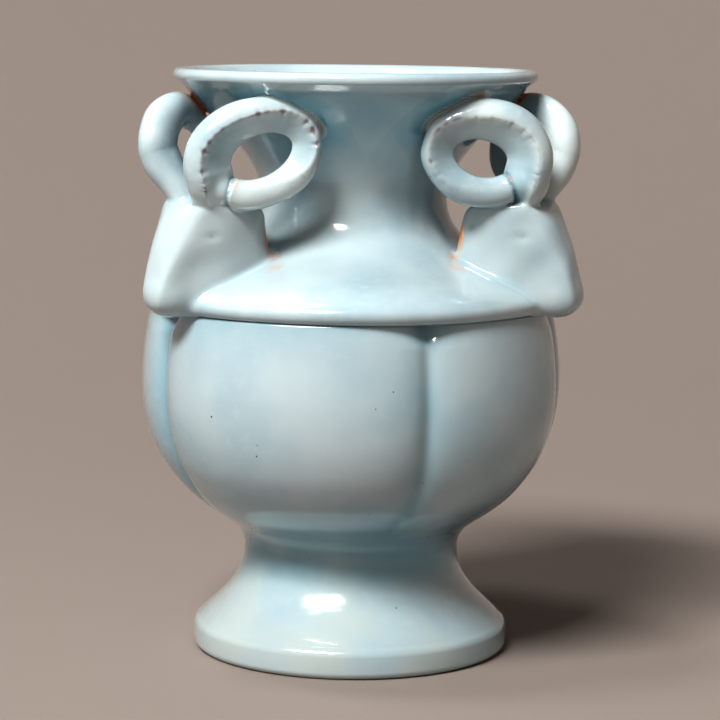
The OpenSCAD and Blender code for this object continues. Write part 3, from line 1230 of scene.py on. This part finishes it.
@dataclass
class HeadField(Field):
    """A ram's head without its horns: flat planes pressed into clay, with soft edges between them.

    X points out along the nose, Y across the head and Z up.

    Attributes:
        nose_x: How far the nose stands out from the axis.
        crown_z: Height of the crown.
        ripple: Unevenness of the surface.
        cheek: Half width across the cheeks.
        muzzle: Half width of the muzzle.
        softness: Rounding of the edges.
    """

    nose_x: float
    crown_z: float
    ripple: Ripple
    cheek: float = 19.6
    muzzle: float = 9.2
    softness: float = 1.05

    def planes(self) -> list[tuple[Array, Array]]:
        """Lists each plane of the head as a point on it and the way it faces.

        Returns:
            A point on each plane, and its normal.
        """
        x, z = self.nose_x, self.crown_z
        flats = [
            ((x - 28, 0, z + 0.2), (-0.10, 0, 1.0)),
            ((x - 14.5, 0, z - 2.6), (0.45, 0, 0.9)),
            ((x - 9.0, 0, z - 11.5), (0.91, 0, 0.41)),
            ((x - 2.2, 0, z - 31.0), (0.975, 0, 0.21)),
            ((x + 0.1, 0, z - 40.0), (1.0, 0, -0.12)),
            ((x - 2.6, 0, z - 47.4), (0.62, 0, -0.78)),
            ((x - 11.0, 0, z - 50.6), (0.04, 0, -1.0)),
            ((x - 53.0, 0, z - 18.0), (-0.98, 0, 0.2)),
            ((x - 48.0, 0, z - 3.0), (-0.6, 0, 0.8)),
            ((x - 36.0, self.cheek, z - 20.0), (0.02, 1.0, -0.11)),
            ((x - 29.0, self.cheek, z - 24.0), (0.32, 1.0, -0.12)),
            ((x - 3.0, self.muzzle, z - 42.0), (0.38, 1.0, -0.06)),
            ((x - 45.0, self.cheek - 0.6, z - 20.0), (-0.42, 1.0, 0.04)),
            ((x - 30.0, self.cheek + 1.4, z - 0.9), (0.0, 0.62, 0.78)),
            ((x - 7.0, self.muzzle, z - 20.0), (0.85, 0.5, 0.3)),
            ((x - 4.0, self.muzzle - 2.5, z - 47.5), (0.3, 0.72, -0.62)),
        ]
        return [(np.array(a, float), np.array(b, float) / np.linalg.norm(b)) for a, b in flats]

    def __call__(self, p: Array) -> Array:
        """Gives the distance at each point.

        Args:
            p: Points, in millimetres.

        Returns:
            The distance at each point.
        """
        q = np.stack([p[:, 0], np.sqrt(p[:, 1] ** 2 + 0.4), p[:, 2]], 1)
        d = np.stack([(q - a) @ n for a, n in self.planes()], 1) / self.softness
        top = d.max(1)
        flat = (top + np.log(np.exp(d - top[:, None]).sum(1))) * self.softness - 0.3
        snout = self._ball(q, (self.nose_x - 9.4, 0.0, self.crown_z - 41.5), (9.3, 10.2, 9.0))
        f = soft_min(flat, snout, 5.0)
        f = f + self._dent(q, (self.nose_x - 21.5, 19.0, self.crown_z - 15.0), (3.6, 6.0, 2.2), 0.5)
        f = f + self._dent(q, (self.nose_x - 15.0, 15.5, self.crown_z - 28.0), (9.0, 8.0, 8.0), 0.9)
        return f - self.ripple(p)

    @staticmethod
    def _ball(q: Array, centre: Triple, radii: Triple) -> Array:
        """Gives the distance to a stretched ball.

        Args:
            q: Points, in millimetres.
            centre: Middle of the ball.
            radii: Its three radii.

        Returns:
            The distance at each point.
        """
        v = (q - np.array(centre)) / np.array(radii)
        k0 = np.linalg.norm(v, axis=1)
        k1 = np.linalg.norm(v / np.array(radii), axis=1)
        return k0 * (k0 - 1.0) / np.maximum(k1, 1e-6)

    @staticmethod
    def _dent(q: Array, centre: Triple, radii: Triple, depth: float) -> Array:
        """Gives how far a thumb's dent lowers the surface."""
        v = (q - np.array(centre)) / np.array(radii)
        return depth * np.exp(-(v**2).sum(1))


@dataclass(frozen=True)
class HornShape:
    """How one horn came out of the potter's hands.

    Attributes:
        coil: Half length and half height of the coil, and height of its middle.
        bow: How far the coil stands out to its side.
        widths: Width at the root and at the tip.
        turn: Turn of the coil from the top of the root to the tip, in degrees.
        tilt: Turn of the coil in its own plane, in degrees.
        ridge_round: Rounding of the ridge.
        nick: Depth of the nicks.
        rust: How far clay shows where it touches the rim.
        taper: Share of its length over which it narrows.
    """

    coil: Triple = (20.36, 16.26, 234.16)
    bow: float = 5.5
    widths: Point = (20.8, 12.8)
    turn: float = 300.0
    tilt: float = 0.0
    ridge_round: float = 1.6
    nick: float = 0.6
    rust: float = 0.3
    taper: float = 0.85


@dataclass
class HornField(Field):
    """A horn: a tapering roll of clay in one coil, with a nicked ridge round its outer face.

    Attributes:
        side: 1 on the head's left, -1 on its right.
        root: Where the root stands: distance out from the axis and to the side.
        crown_z: Height of the crown.
        shape: What sets this horn apart.
        splay: Angle between the coil and the middle of the head, in degrees.
        flatness: Thickness as a share of width.
        seed: Fixes the nicks and the unevenness.
        samples: Points along the middle line.
    """

    side: int
    root: Point
    crown_z: float
    shape: HornShape
    splay: float = 30.0
    flatness: float = 0.82
    seed: int = 1
    samples: int = 190

    def __post_init__(self) -> None:
        """Lays out the horn's middle line and its nicks."""
        g = math.radians(self.splay)
        self.along = np.array([-math.cos(g), self.side * math.sin(g), 0.0])
        self.out = np.array([math.sin(g), self.side * math.cos(g), 0.0])
        t = np.linspace(-1.0, 1.0, self.samples)
        a, b, mid = self.shape.coil
        turn = np.radians(self.shape.turn) * np.maximum(t, 0)
        s, z = -a * np.cos(turn), b * np.sin(turn)
        tilt = math.radians(self.shape.tilt)
        s, z = a + s * math.cos(tilt) - z * math.sin(tilt), s * math.sin(tilt) + z * math.cos(tilt)
        root = np.minimum(t, 0)
        s, z = s - 3.2 * root, z + root * (mid - a * math.sin(tilt) - self.crown_z + 3.0)
        lean = self.shape.bow * smoothstep((t + 1) / 1.25) * (1 - 0.7 * smoothstep((t - 0.45) / 0.55))
        lean = (lean - 5.0 * root**2)[:, None]
        base = np.array([self.root[0], self.side * self.root[1], 0.0])
        self.t = t
        rise = (z + mid)[:, None] * np.array([0, 0, 1.0])
        self.line = base + s[:, None] * self.along + lean * self.out + rise
        tangent = np.gradient(self.line, axis=0)
        self.pace = np.linalg.norm(tangent, axis=1)
        self.tangent = tangent / self.pace[:, None]
        self.outer = np.cross(self.out, self.tangent) * self.side
        self.outer /= np.linalg.norm(self.outer, axis=1)[:, None]
        self.face = np.cross(self.tangent, self.outer) * self.side
        w0, w1 = self.shape.widths
        pinch = 1 - 0.24 * smoothstep(-1.2 * t - 0.2)
        self.half = (w0 + (w1 - w0) * smoothstep(np.maximum(t, 0) / self.shape.taper)) / 2 * pinch
        rng = np.random.default_rng(self.seed)
        self.ripple = Ripple(self.seed + 40, 24.0, 0.3)
        self.nicks = np.cumsum(rng.uniform(0.016, 0.042, 40)) - 0.3
        self.depths = rng.uniform(0.1, 1.0, 40) ** 1.3 * self.shape.nick
        self.breadths = rng.uniform(0.7, 1.3, 40)
        self.length = float(self.pace[self.samples // 2 :].sum())
        flank = self.line[t < 0.2]
        touch = flank[np.linalg.norm(flank - self.line[-1], axis=1).argmin()]
        self.weld = 0.55 * self.line[-1] + 0.45 * touch
        self.middle = self.line.mean(0)
        c = self.line - self.middle
        nearness = np.vstack([-2 * c.T, np.ones(len(c)), (c**2).sum(1)]) / self.half**2
        self.nearness = nearness.astype(np.float32)
        self.low, self.high = self.line.min(0) - self.half[0], self.line.max(0) + self.half[0]

    def place(self, p: Array) -> dict[str, Array]:
        """Finds where points lie along and across the horn.

        Args:
            p: Points in the head's frame.

        Returns:
            Place along the horn (t), distances outwards (u), across (v) and past its end (e), and half width.
        """
        best = np.empty(len(p), int)
        batch = 20000
        for i in range(0, len(p), batch):
            c = (p[i : i + batch] - self.middle).astype(np.float32)
            terms = np.concatenate([c, (c**2).sum(1)[:, None], np.ones((len(c), 1), np.float32)], 1)
            best[i : i + batch] = (terms @ self.nearness).argmin(1)
        ahead = np.einsum("ij,ij->i", p - self.line[best], self.tangent[best]) / self.pace[best]
        at = np.clip(best + np.clip(ahead, -1.0, 1.0), 0, self.samples - 1.0)
        i = np.minimum(at.astype(int), self.samples - 2)
        f = (at - i)[:, None]

        def between(values: Array) -> Array:
            """Reads a value between two samples."""
            v = values.reshape(len(values), -1)
            return v[i] * (1 - f) + v[i + 1] * f

        q = p - between(self.line)
        u = np.einsum("ij,ij->i", q, between(self.outer))
        v = np.einsum("ij,ij->i", q, between(self.face))
        e = np.sqrt(np.maximum((q**2).sum(1) - u * u - v * v, 0.0)) * ((at <= 0) | (at >= self.samples - 1))
        return {"t": between(self.t)[:, 0], "u": u, "v": v, "e": e, "half": between(self.half)[:, 0]}

    def ridge(self, t: Array, a: Array) -> tuple[Array, Array, Array]:
        """Gives where the ridge runs across the horn, and how strongly it stands out.

        Args:
            t: Place along the horn.
            a: Half width there.

        Returns:
            The ridge's distance outwards, its distance across, and its strength from 0 to 1.
        """
        share = 0.30 - 0.18 * smoothstep((t - 0.05) / 0.25) + 0.5 * smoothstep((t - 0.30) / 0.22)
        strong = smoothstep((t + 0.95) / 0.25) * (1 - smoothstep((t - 0.55) / 0.3))
        u = share * a
        return u, self.flatness * a * np.sqrt(1 - share**2), strong

    def __call__(self, p: Array) -> Array:
        """Gives the distance at each point; far from the horn, the distance to its box.

        Args:
            p: Points, in millimetres.

        Returns:
            The distance at each point.
        """
        away = np.linalg.norm(np.maximum(np.maximum(self.low - p, p - self.high), 0.0), axis=1)
        out = away + 6.0
        near = away < 9.0
        out[near] = self._near(p[near])
        return out

    def _near(self, p: Array) -> Array:
        """Gives the distance at points near the horn.

        Args:
            p: Points, in millimetres.

        Returns:
            The distance at each point.
        """
        w = self.place(p)
        a = w["half"]
        b = a * self.flatness
        u, v, e = w["u"], w["v"], w["e"]
        cap = a * 0.5
        k0 = np.sqrt((u / a) ** 2 + (v / b) ** 2 + (e / cap) ** 2)
        k1 = np.sqrt((u / a**2) ** 2 + (v / b**2) ** 2 + (e / cap**2) ** 2)
        f = np.where(k1 > 1e-6, k0 * (k0 - 1) / np.maximum(k1, 1e-6), -b)
        ru, rv, strong = self.ridge(w["t"], a)
        du, dv = ru + 1.0 * a, rv + 0.4 * b
        size = np.hypot(du, dv)
        plane = ((v - rv) * du - (u - ru) * dv) / size - 4.5 * (1 - strong)
        f = soft_max(f, plane, self.shape.ridge_round)
        f = soft_min(f, np.linalg.norm(p - self.weld, axis=1) - 0.9 * self.half[-1], 6.0)
        return f + self.nicking(w, ru, rv, strong) - self.ripple(p)

    def nicking(self, w: dict[str, Array], ru: Array, rv: Array, strong: Array) -> Array:
        """Gives the depth of the nicks along the ridge.

        Args:
            w: Where the points lie, as place gives it.
            ru: The ridge's distance outwards.
            rv: Its distance across.
            strong: Its strength.

        Returns:
            The depth at each point.
        """
        across = ((w["u"] - ru + 0.9) ** 2 + (w["v"] - rv) ** 2) / 2.3**2
        near = across < 6
        out = np.zeros(len(ru))
        gap = (w["t"][near, None] - self.nicks[None]) * self.length / self.breadths
        out[near] = (np.exp(-(gap**2)) * self.depths).sum(1) * np.exp(-across[near]) * strong[near]
        return out


@dataclass
class HeadGroup:
    """A head, its two horns and the collar, joined by fillets of slip.

    Attributes:
        head: The head.
        left: The horn on its left.
        right: The horn on its right.
        collar: The collar that it sits on.
        horn_fillet: Fillet between horn and head.
        collar_fillet: Fillet on the collar.
    """

    head: HeadField
    left: HornField
    right: HornField
    collar: CollarField
    horn_fillet: float = 2.4
    collar_fillet: float = 4.4

    def distances(self, p: Array) -> dict[str, Array]:
        """Gives the distance to each shape at each point."""
        return {"head": self.head(p), "left": self.left(p), "right": self.right(p), "collar": self.collar(p)}

    def joined(self, d: dict[str, Array]) -> Array:
        """Joins the shapes.

        Args:
            d: Distance to each shape.

        Returns:
            Distance to the joined shape.
        """
        horns = soft_min(d["left"], d["right"], 3.0)
        slip = self.collar_fillet - (self.collar_fillet - 0.8) * smoothstep((d["head"] - horns) / 9.0)
        return soft_min(soft_min(d["head"], horns, self.horn_fillet), d["collar"], slip)

    def piece(self, name: str) -> "GroupPiece":
        """Gives the field of one piece cut out of the group."""
        return GroupPiece(self, name)


@dataclass
class GroupPiece(Field):
    """One piece of a joined group: it keeps the joined surface on itself and sinks under its neighbours.

    Attributes:
        group: The joined shapes.
        name: The piece: head, left or right.
        dive: How steeply it sinks under a neighbour.
        key: How far it reaches into the collar.
    """

    group: HeadGroup
    name: str
    dive: float = 0.12
    key: float = 3.0

    def __call__(self, p: Array) -> Array:
        """Gives the distance at each point.

        Args:
            p: Points, in millimetres.

        Returns:
            The distance at each point.
        """
        d = self.group.distances(p)
        own = d[self.name]
        rest = np.min([v for k, v in d.items() if k not in (self.name, "collar")], axis=0)
        past = np.maximum(own - rest, 0.0)
        past_collar = np.maximum(own - d["collar"] - 0.7 * self.group.collar_fillet, 0.0)
        f = self.group.joined(d) + self.dive * past**2 + self.dive * past_collar**2
        return np.maximum(f, -d["collar"] - self.key)


@dataclass
class RamHead:
    """A ram's head with its two horns, set on the shoulder.

    Attributes:
        name: Node of the head.
        horn_names: Nodes of the horns on its left and right.
        angle: Where it stands, in degrees from the front towards the right.
        sizes: Sizes shared with the other pieces.
        collar: The collar's field.
        seed: Fixes its small differences.
        horns: Shapes of its horns, left and right.
        middle: Middle of the head with its horns, in the head's frame.
        reach: Distance from there within which they touch the collar's glaze.
    """

    name: str
    horn_names: tuple[str, str]
    angle: float
    sizes: VaseSizes
    collar: CollarField
    seed: int
    horns: tuple[HornShape, HornShape]
    middle: Triple = (84.0, 0.0, 212.0)
    reach: float = 75.0

    def __post_init__(self) -> None:
        """Shapes the head and its horns."""
        a = math.radians(self.angle - 90.0)
        self.turn = np.array([[math.cos(a), -math.sin(a), 0], [math.sin(a), math.cos(a), 0], [0, 0, 1.0]])
        crown_z = self.sizes.joint_z + 50.5
        root = (self.sizes.nose_x - 22.4, 12.6)
        horns = [
            HornField(side, root, crown_z, shape, seed=self.seed + k)
            for k, (side, shape) in enumerate(zip((1, -1), self.horns))
        ]
        head = HeadField(self.sizes.nose_x - 0.9, crown_z, Ripple(self.seed + 70, 28.0, 0.3))
        self.group = HeadGroup(head, horns[0], horns[1], self.collar)

    def to_head(self, p: Array) -> Array:
        """Turns points of the vase into the head's frame."""
        return p @ self.turn

    def toasting(self, q: Array) -> Array:
        """Says how far clay shows on the collar behind the cheeks and beside the jaw.

        Args:
            q: Points in the head's frame.

        Returns:
            A number from 0 up for each point.
        """
        out = np.zeros(len(q))
        patches = (
            (58, 19, 193, 5.0, 0.95),
            (64, 28, 186, 8.0, 0.55),
            (80, 24, 179, 3.5, 0.4),
            (50, 12, 204, 5.0, 0.5),
        )
        for x, y, z, r, much in patches:
            d2 = (q[:, 0] - x) ** 2 + (np.abs(q[:, 1]) - y) ** 2 + ((q[:, 2] - z) * 0.7) ** 2
            out += much * np.exp(-d2 / r**2)
        return out

    def build(self, cell: float, finish: Material, horn_finish: Material) -> dict[str, Piece]:
        """Meshes the head and its horns and dresses them.

        Args:
            cell: Size of the mesh's faces.
            finish: Material of the head.
            horn_finish: Material of the horns.

        Returns:
            Each piece by the name of the node that it stands for.
        """
        mesher = FieldMesher(cell)
        g = self.group
        pieces = {}
        margin = 15.0
        spans = {
            "head": (np.array([40.0, -30.0, 152.0]), np.array([120.0, 30.0, 222.0])),
            "left": (g.left.line.min(0) - margin, g.left.line.max(0) + margin),
            "right": (g.right.line.min(0) - margin, g.right.line.max(0) + margin),
        }
        for (part, (low, high)), node in zip(spans.items(), (self.name, *self.horn_names)):
            points, quads = mesher.mesh(g.piece(part), low, high)
            mesh = make_mesh(node + "_clay", points @ self.turn.T, quads)
            face_outwards(mesh)
            self._mark(mesh, part, self.to_head(mesh_points(mesh)))
            mesh.materials.append(finish if part == "head" else horn_finish)
            pieces[node] = add_object(node + "_clay", mesh)
        return pieces

    def _mark(self, mesh: Mesh, part: str, q: Array) -> None:
        """Stores where the glaze pools, thins or lets clay show on one piece, and where shade is painted in its
        hollows, its joints and on the horns' inner faces.

        Args:
            mesh: Mesh of the piece.
            part: The piece: head, left or right.
            q: Its corners in the head's frame.
        """
        g = self.group
        d = g.distances(q)
        others = np.min([v for k, v in d.items() if k != part], axis=0)
        h = 1.6
        here = g.joined(d)
        bend = sum(g.joined(g.distances(q + s * h * e)) for e in np.eye(3) for s in (1, -1)) - 6 * here
        hollow = np.clip(-bend / h, 0, 3)
        touch = bell(np.maximum(d["collar"], 0), 2.0)
        # painted shade and grime along the joints with the other pieces
        crevice = 0.3 * fade(others, 0.9)
        bare = 0.3 * touch * (q[:, 2] > 176)
        if part == "head":
            half = np.stack([q[:, 0], np.abs(q[:, 1]), q[:, 2]], 1)
            eye = np.linalg.norm(half - [self.sizes.nose_x - 22.3, 18.0, 197.5], axis=1)
            back = (((half - [59.5, 16.0, 197.0]) / [3.5, 5.0, 9.0]) ** 2).sum(1)
            thin = 0.4 * bell(eye, 2.6)
            bare += 0.9 * np.exp(-back)
            inner_face_shade = np.zeros(len(q))
        else:
            horn = g.left if part == "left" else g.right
            w = horn.place(q)
            ru, rv, strong = horn.ridge(w["t"], w["half"])
            gap = ((w["u"] - ru) ** 2 + (w["v"] - rv) ** 2) / 1.5**2
            thin = (0.34 * np.exp(-gap) + 0.6 * horn.nicking(w, ru, rv, strong)) * strong
            # painted shade on the horn's inner face, inside the ridge
            inner_face_shade = smoothstep((ru - w["u"] - 1.0) / 3.0) * strong * (w["v"] > -2.0)
            tip, start = horn.line[-8], horn.line[len(horn.line) // 2]
            seam = np.linalg.norm(q - (0.7 * tip + 0.3 * start), axis=1)
            high = touch * (q[:, 2] > 236)
            # painted shade and grime at the tip's seam and where the horn touches the rim
            crevice += 0.4 * bell(seam, 4.0) + 0.2 * high
            bare += 0.75 * bell(seam, 5.5) + horn.shape.rust * high
        # painted shade in hollows and on the horns' inner faces, along with glaze lying deep
        pool = 0.5 * smoothstep(hollow / 1.2) + 0.2 * inner_face_shade
        set_marks(mesh, pool=pool, crevice=crevice, bare=bare, thin=thin)


# ---------------------------------------------------------------- studio


@dataclass(frozen=True)
class Softbox:
    """A rectangular studio light.

    Attributes:
        name: Name of the light.
        place: Where it stands, in metres.
        aim: Point that it faces.
        size: Width and height.
        power: Power in watts.
        colour: Colour of its light.
    """

    name: str
    place: Triple
    aim: Triple
    size: Point
    power: float
    colour: Triple = (1.0, 1.0, 1.0)

    def build(self) -> None:
        """Hangs the light."""
        light = bpy.data.lights.new(self.name, "AREA")
        light.shape = "RECTANGLE"
        light.size, light.size_y = self.size
        light.energy = self.power
        light.color = self.colour
        obj = bpy.data.objects.new(self.name, light)
        way = Vector(self.aim) - Vector(self.place)
        obj.matrix_world = Matrix.Translation(self.place) @ way.to_track_quat("-Z", "Y").to_matrix().to_4x4()
        bpy.context.scene.collection.objects.link(obj)


@dataclass
class Studio:
    """Floor, lights and camera round the vase.

    Attributes:
        floor_tone: Colour of the floor.
        distance: How far the camera stands from the axis, in metres.
        eye: Height of the camera.
        side: Angle of the camera from the front, in degrees.
        aim: Height that it looks at.
        lens: Focal length in millimetres on a frame 36 mm wide.
        roll: Turn of the camera about its view, in degrees.
        shift: Sideways shift of the lens, as a share of the frame.
        room_tone: Grey of the room's even light.
        room_light: Strength of that light.
    """

    floor_tone: Triple = (0.262, 0.229, 0.21)
    distance: float = 1.2
    eye: float = 0.300
    side: float = -6.0
    aim: float = 0.13458
    lens: float = 129.6
    roll: float = 0.6
    shift: float = 0.0102
    room_tone: float = 0.60
    room_light: float = 0.05

    def build(self) -> None:
        """Sets up the whole studio."""
        self._floor()
        self._world()
        self._camera()
        middle = (0.0, 0.0, 0.12)
        Softbox("key softbox", (-1.74, -2.15, 3.0), middle, (1.9, 1.1), 445.0, (1.0, 0.985, 0.96)).build()
        Softbox("top softbox", (-0.57, 0.06, 2.2), middle, (0.38, 0.3), 16.0).build()

    def _floor(self) -> None:
        """Lays a plain round floor of paper that curves up into a low wall all round."""
        flat, bend, wall, columns = 0.5, 2.1, 0.4, 96
        side = [(flat * k / 3, 0.0) for k in range(1, 4)]
        angles = np.radians(np.arange(7.5, 91, 7.5))
        side += [(flat + bend * math.sin(a), bend * (1 - math.cos(a))) for a in angles]
        side.append((flat + bend, bend + wall))
        turns = [2 * math.pi * k / columns for k in range(columns)]
        points = [(r * math.sin(a), -r * math.cos(a), z) for r, z in side for a in turns] + [(0.0, 0.0, 0.0)]
        faces = []
        for low in range(0, (len(side) - 1) * columns, columns):
            high = low + columns
            for k in range(columns):
                ahead = (k + 1) % columns
                faces.append((high + k, high + ahead, low + ahead, low + k))
        faces += [(len(points) - 1, k, (k + 1) % columns) for k in range(columns)]
        mesh = bpy.data.meshes.new("floor")
        mesh.from_pydata(points, [], faces)
        mesh.shade_smooth()
        mat = bpy.data.materials.new("floor_paper")
        mat.use_nodes = True
        bsdf = mat.node_tree.nodes["Principled BSDF"]
        bsdf.inputs["Base Color"].default_value = (*self.floor_tone, 1.0)
        bsdf.inputs["Roughness"].default_value = 0.7
        bsdf.inputs["Specular IOR Level"].default_value = 0.3
        mesh.materials.append(mat)
        add_object("floor", mesh)

    def _world(self) -> None:
        """Fills the room with soft even light."""
        world = bpy.data.worlds.new("room")
        world.use_nodes = True
        back = world.node_tree.nodes["Background"]
        back.inputs["Color"].default_value = (self.room_tone, self.room_tone, self.room_tone, 1.0)
        back.inputs["Strength"].default_value = self.room_light
        bpy.context.scene.world = world

    def _camera(self) -> None:
        """Stands the camera in front."""
        cam = bpy.data.cameras.new("camera")
        cam.sensor_width = 36.0
        cam.lens = self.lens
        cam.shift_x = self.shift
        cam.clip_end = 60.0
        obj = bpy.data.objects.new("camera", cam)
        a = math.radians(self.side)
        eye = Vector((self.distance * math.sin(a), -self.distance * math.cos(a), self.eye))
        way = Vector((0.0, 0.0, self.aim)) - eye
        look = way.to_track_quat("-Z", "Y").to_matrix().to_4x4()
        obj.matrix_world = Matrix.Translation(eye) @ look @ Matrix.Rotation(math.radians(self.roll), 4, "Z")
        bpy.context.scene.collection.objects.link(obj)
        bpy.context.scene.camera = obj


# ---------------------------------------------------------------- the whole vase


def declare(piece: Piece, node: str) -> None:
    """Sets a finished piece on its body and in place of its node, and logs it.

    Args:
        piece: The piece.
        node: Node that it stands for.
    """
    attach(piece, BODY)
    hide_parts(node)
    LOG.info("%s stands for %s: %d faces", piece.name, node, len(piece.data.polygons))


def main() -> None:
    """Builds the studio and every piece of the vase, in the order in which a potter would."""
    logging.basicConfig(level=logging.INFO, format="%(name)s: %(message)s")
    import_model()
    view = bpy.context.scene.view_settings
    view.view_transform, view.gamma = "Standard", GAMMA
    Studio().build()
    sizes = VaseSizes.from_frame()
    finishes = {
        g.slot: g.make()
        for g in (
            Glaze("glaze_foot", tint=(0.39, 0.455, 0.46)),
            Glaze("glaze_bowl"),
            Glaze("glaze_collar", tint=(0.44, 0.522, 0.55)),
            Glaze("glaze_head", tint=(0.42, 0.498, 0.525)),
            Glaze("glaze_horn", tint=(0.52, 0.59, 0.60)),
        )
    }
    tree = TurningTree()
    declare(Pedestal(sizes).build(tree, finishes["glaze_foot"]), "foot")
    declare(LobedBowl(sizes).build(tree, finishes["glaze_bowl"]), "bowl")

    collar = Collar(sizes)
    skin = CollarField(collar)
    near_left = HornShape((22.4, 16.6, 233.4), 5.5, (22.4, 13.4), 324.0, 21.0, 0.8, 0.95, 0.15, 0.6)
    far_left = HornShape(bow=10.0, widths=(20.4, 12.4), ridge_round=0.9, nick=0.5, rust=0.9)
    near_right = HornShape((20.4, 15.9, 233.4), 5.5, (21.6, 13.4), 328.0, 10.0, 2.0, 0.4, 0.2)
    far_right = HornShape(bow=8.5, nick=0.4, ridge_round=2.2, rust=0.8)
    heads = [
        RamHead(name, horns, angle, sizes, skin, seed, shapes)
        for name, horns, angle, seed, shapes in (
            ("head_left", ("horn_left_front", "horn_left_rear"), -60.0, 11, (near_left, far_left)),
            ("head_right", ("horn_right_rear", "horn_right_front"), 60.0, 23, (far_right, near_right)),
            ("head_back", ("horn_back_left", "horn_back_right"), 180.0, 37, (HornShape(), HornShape())),
        )
    ]
    declare(collar.build(tree, finishes["glaze_collar"], heads), "collar")
    cell = FINE_CELL
    for head in heads:
        for node, piece in head.build(cell, finishes["glaze_head"], finishes["glaze_horn"]).items():
            declare(piece, node)


if __name__ == "__main__":
    main()
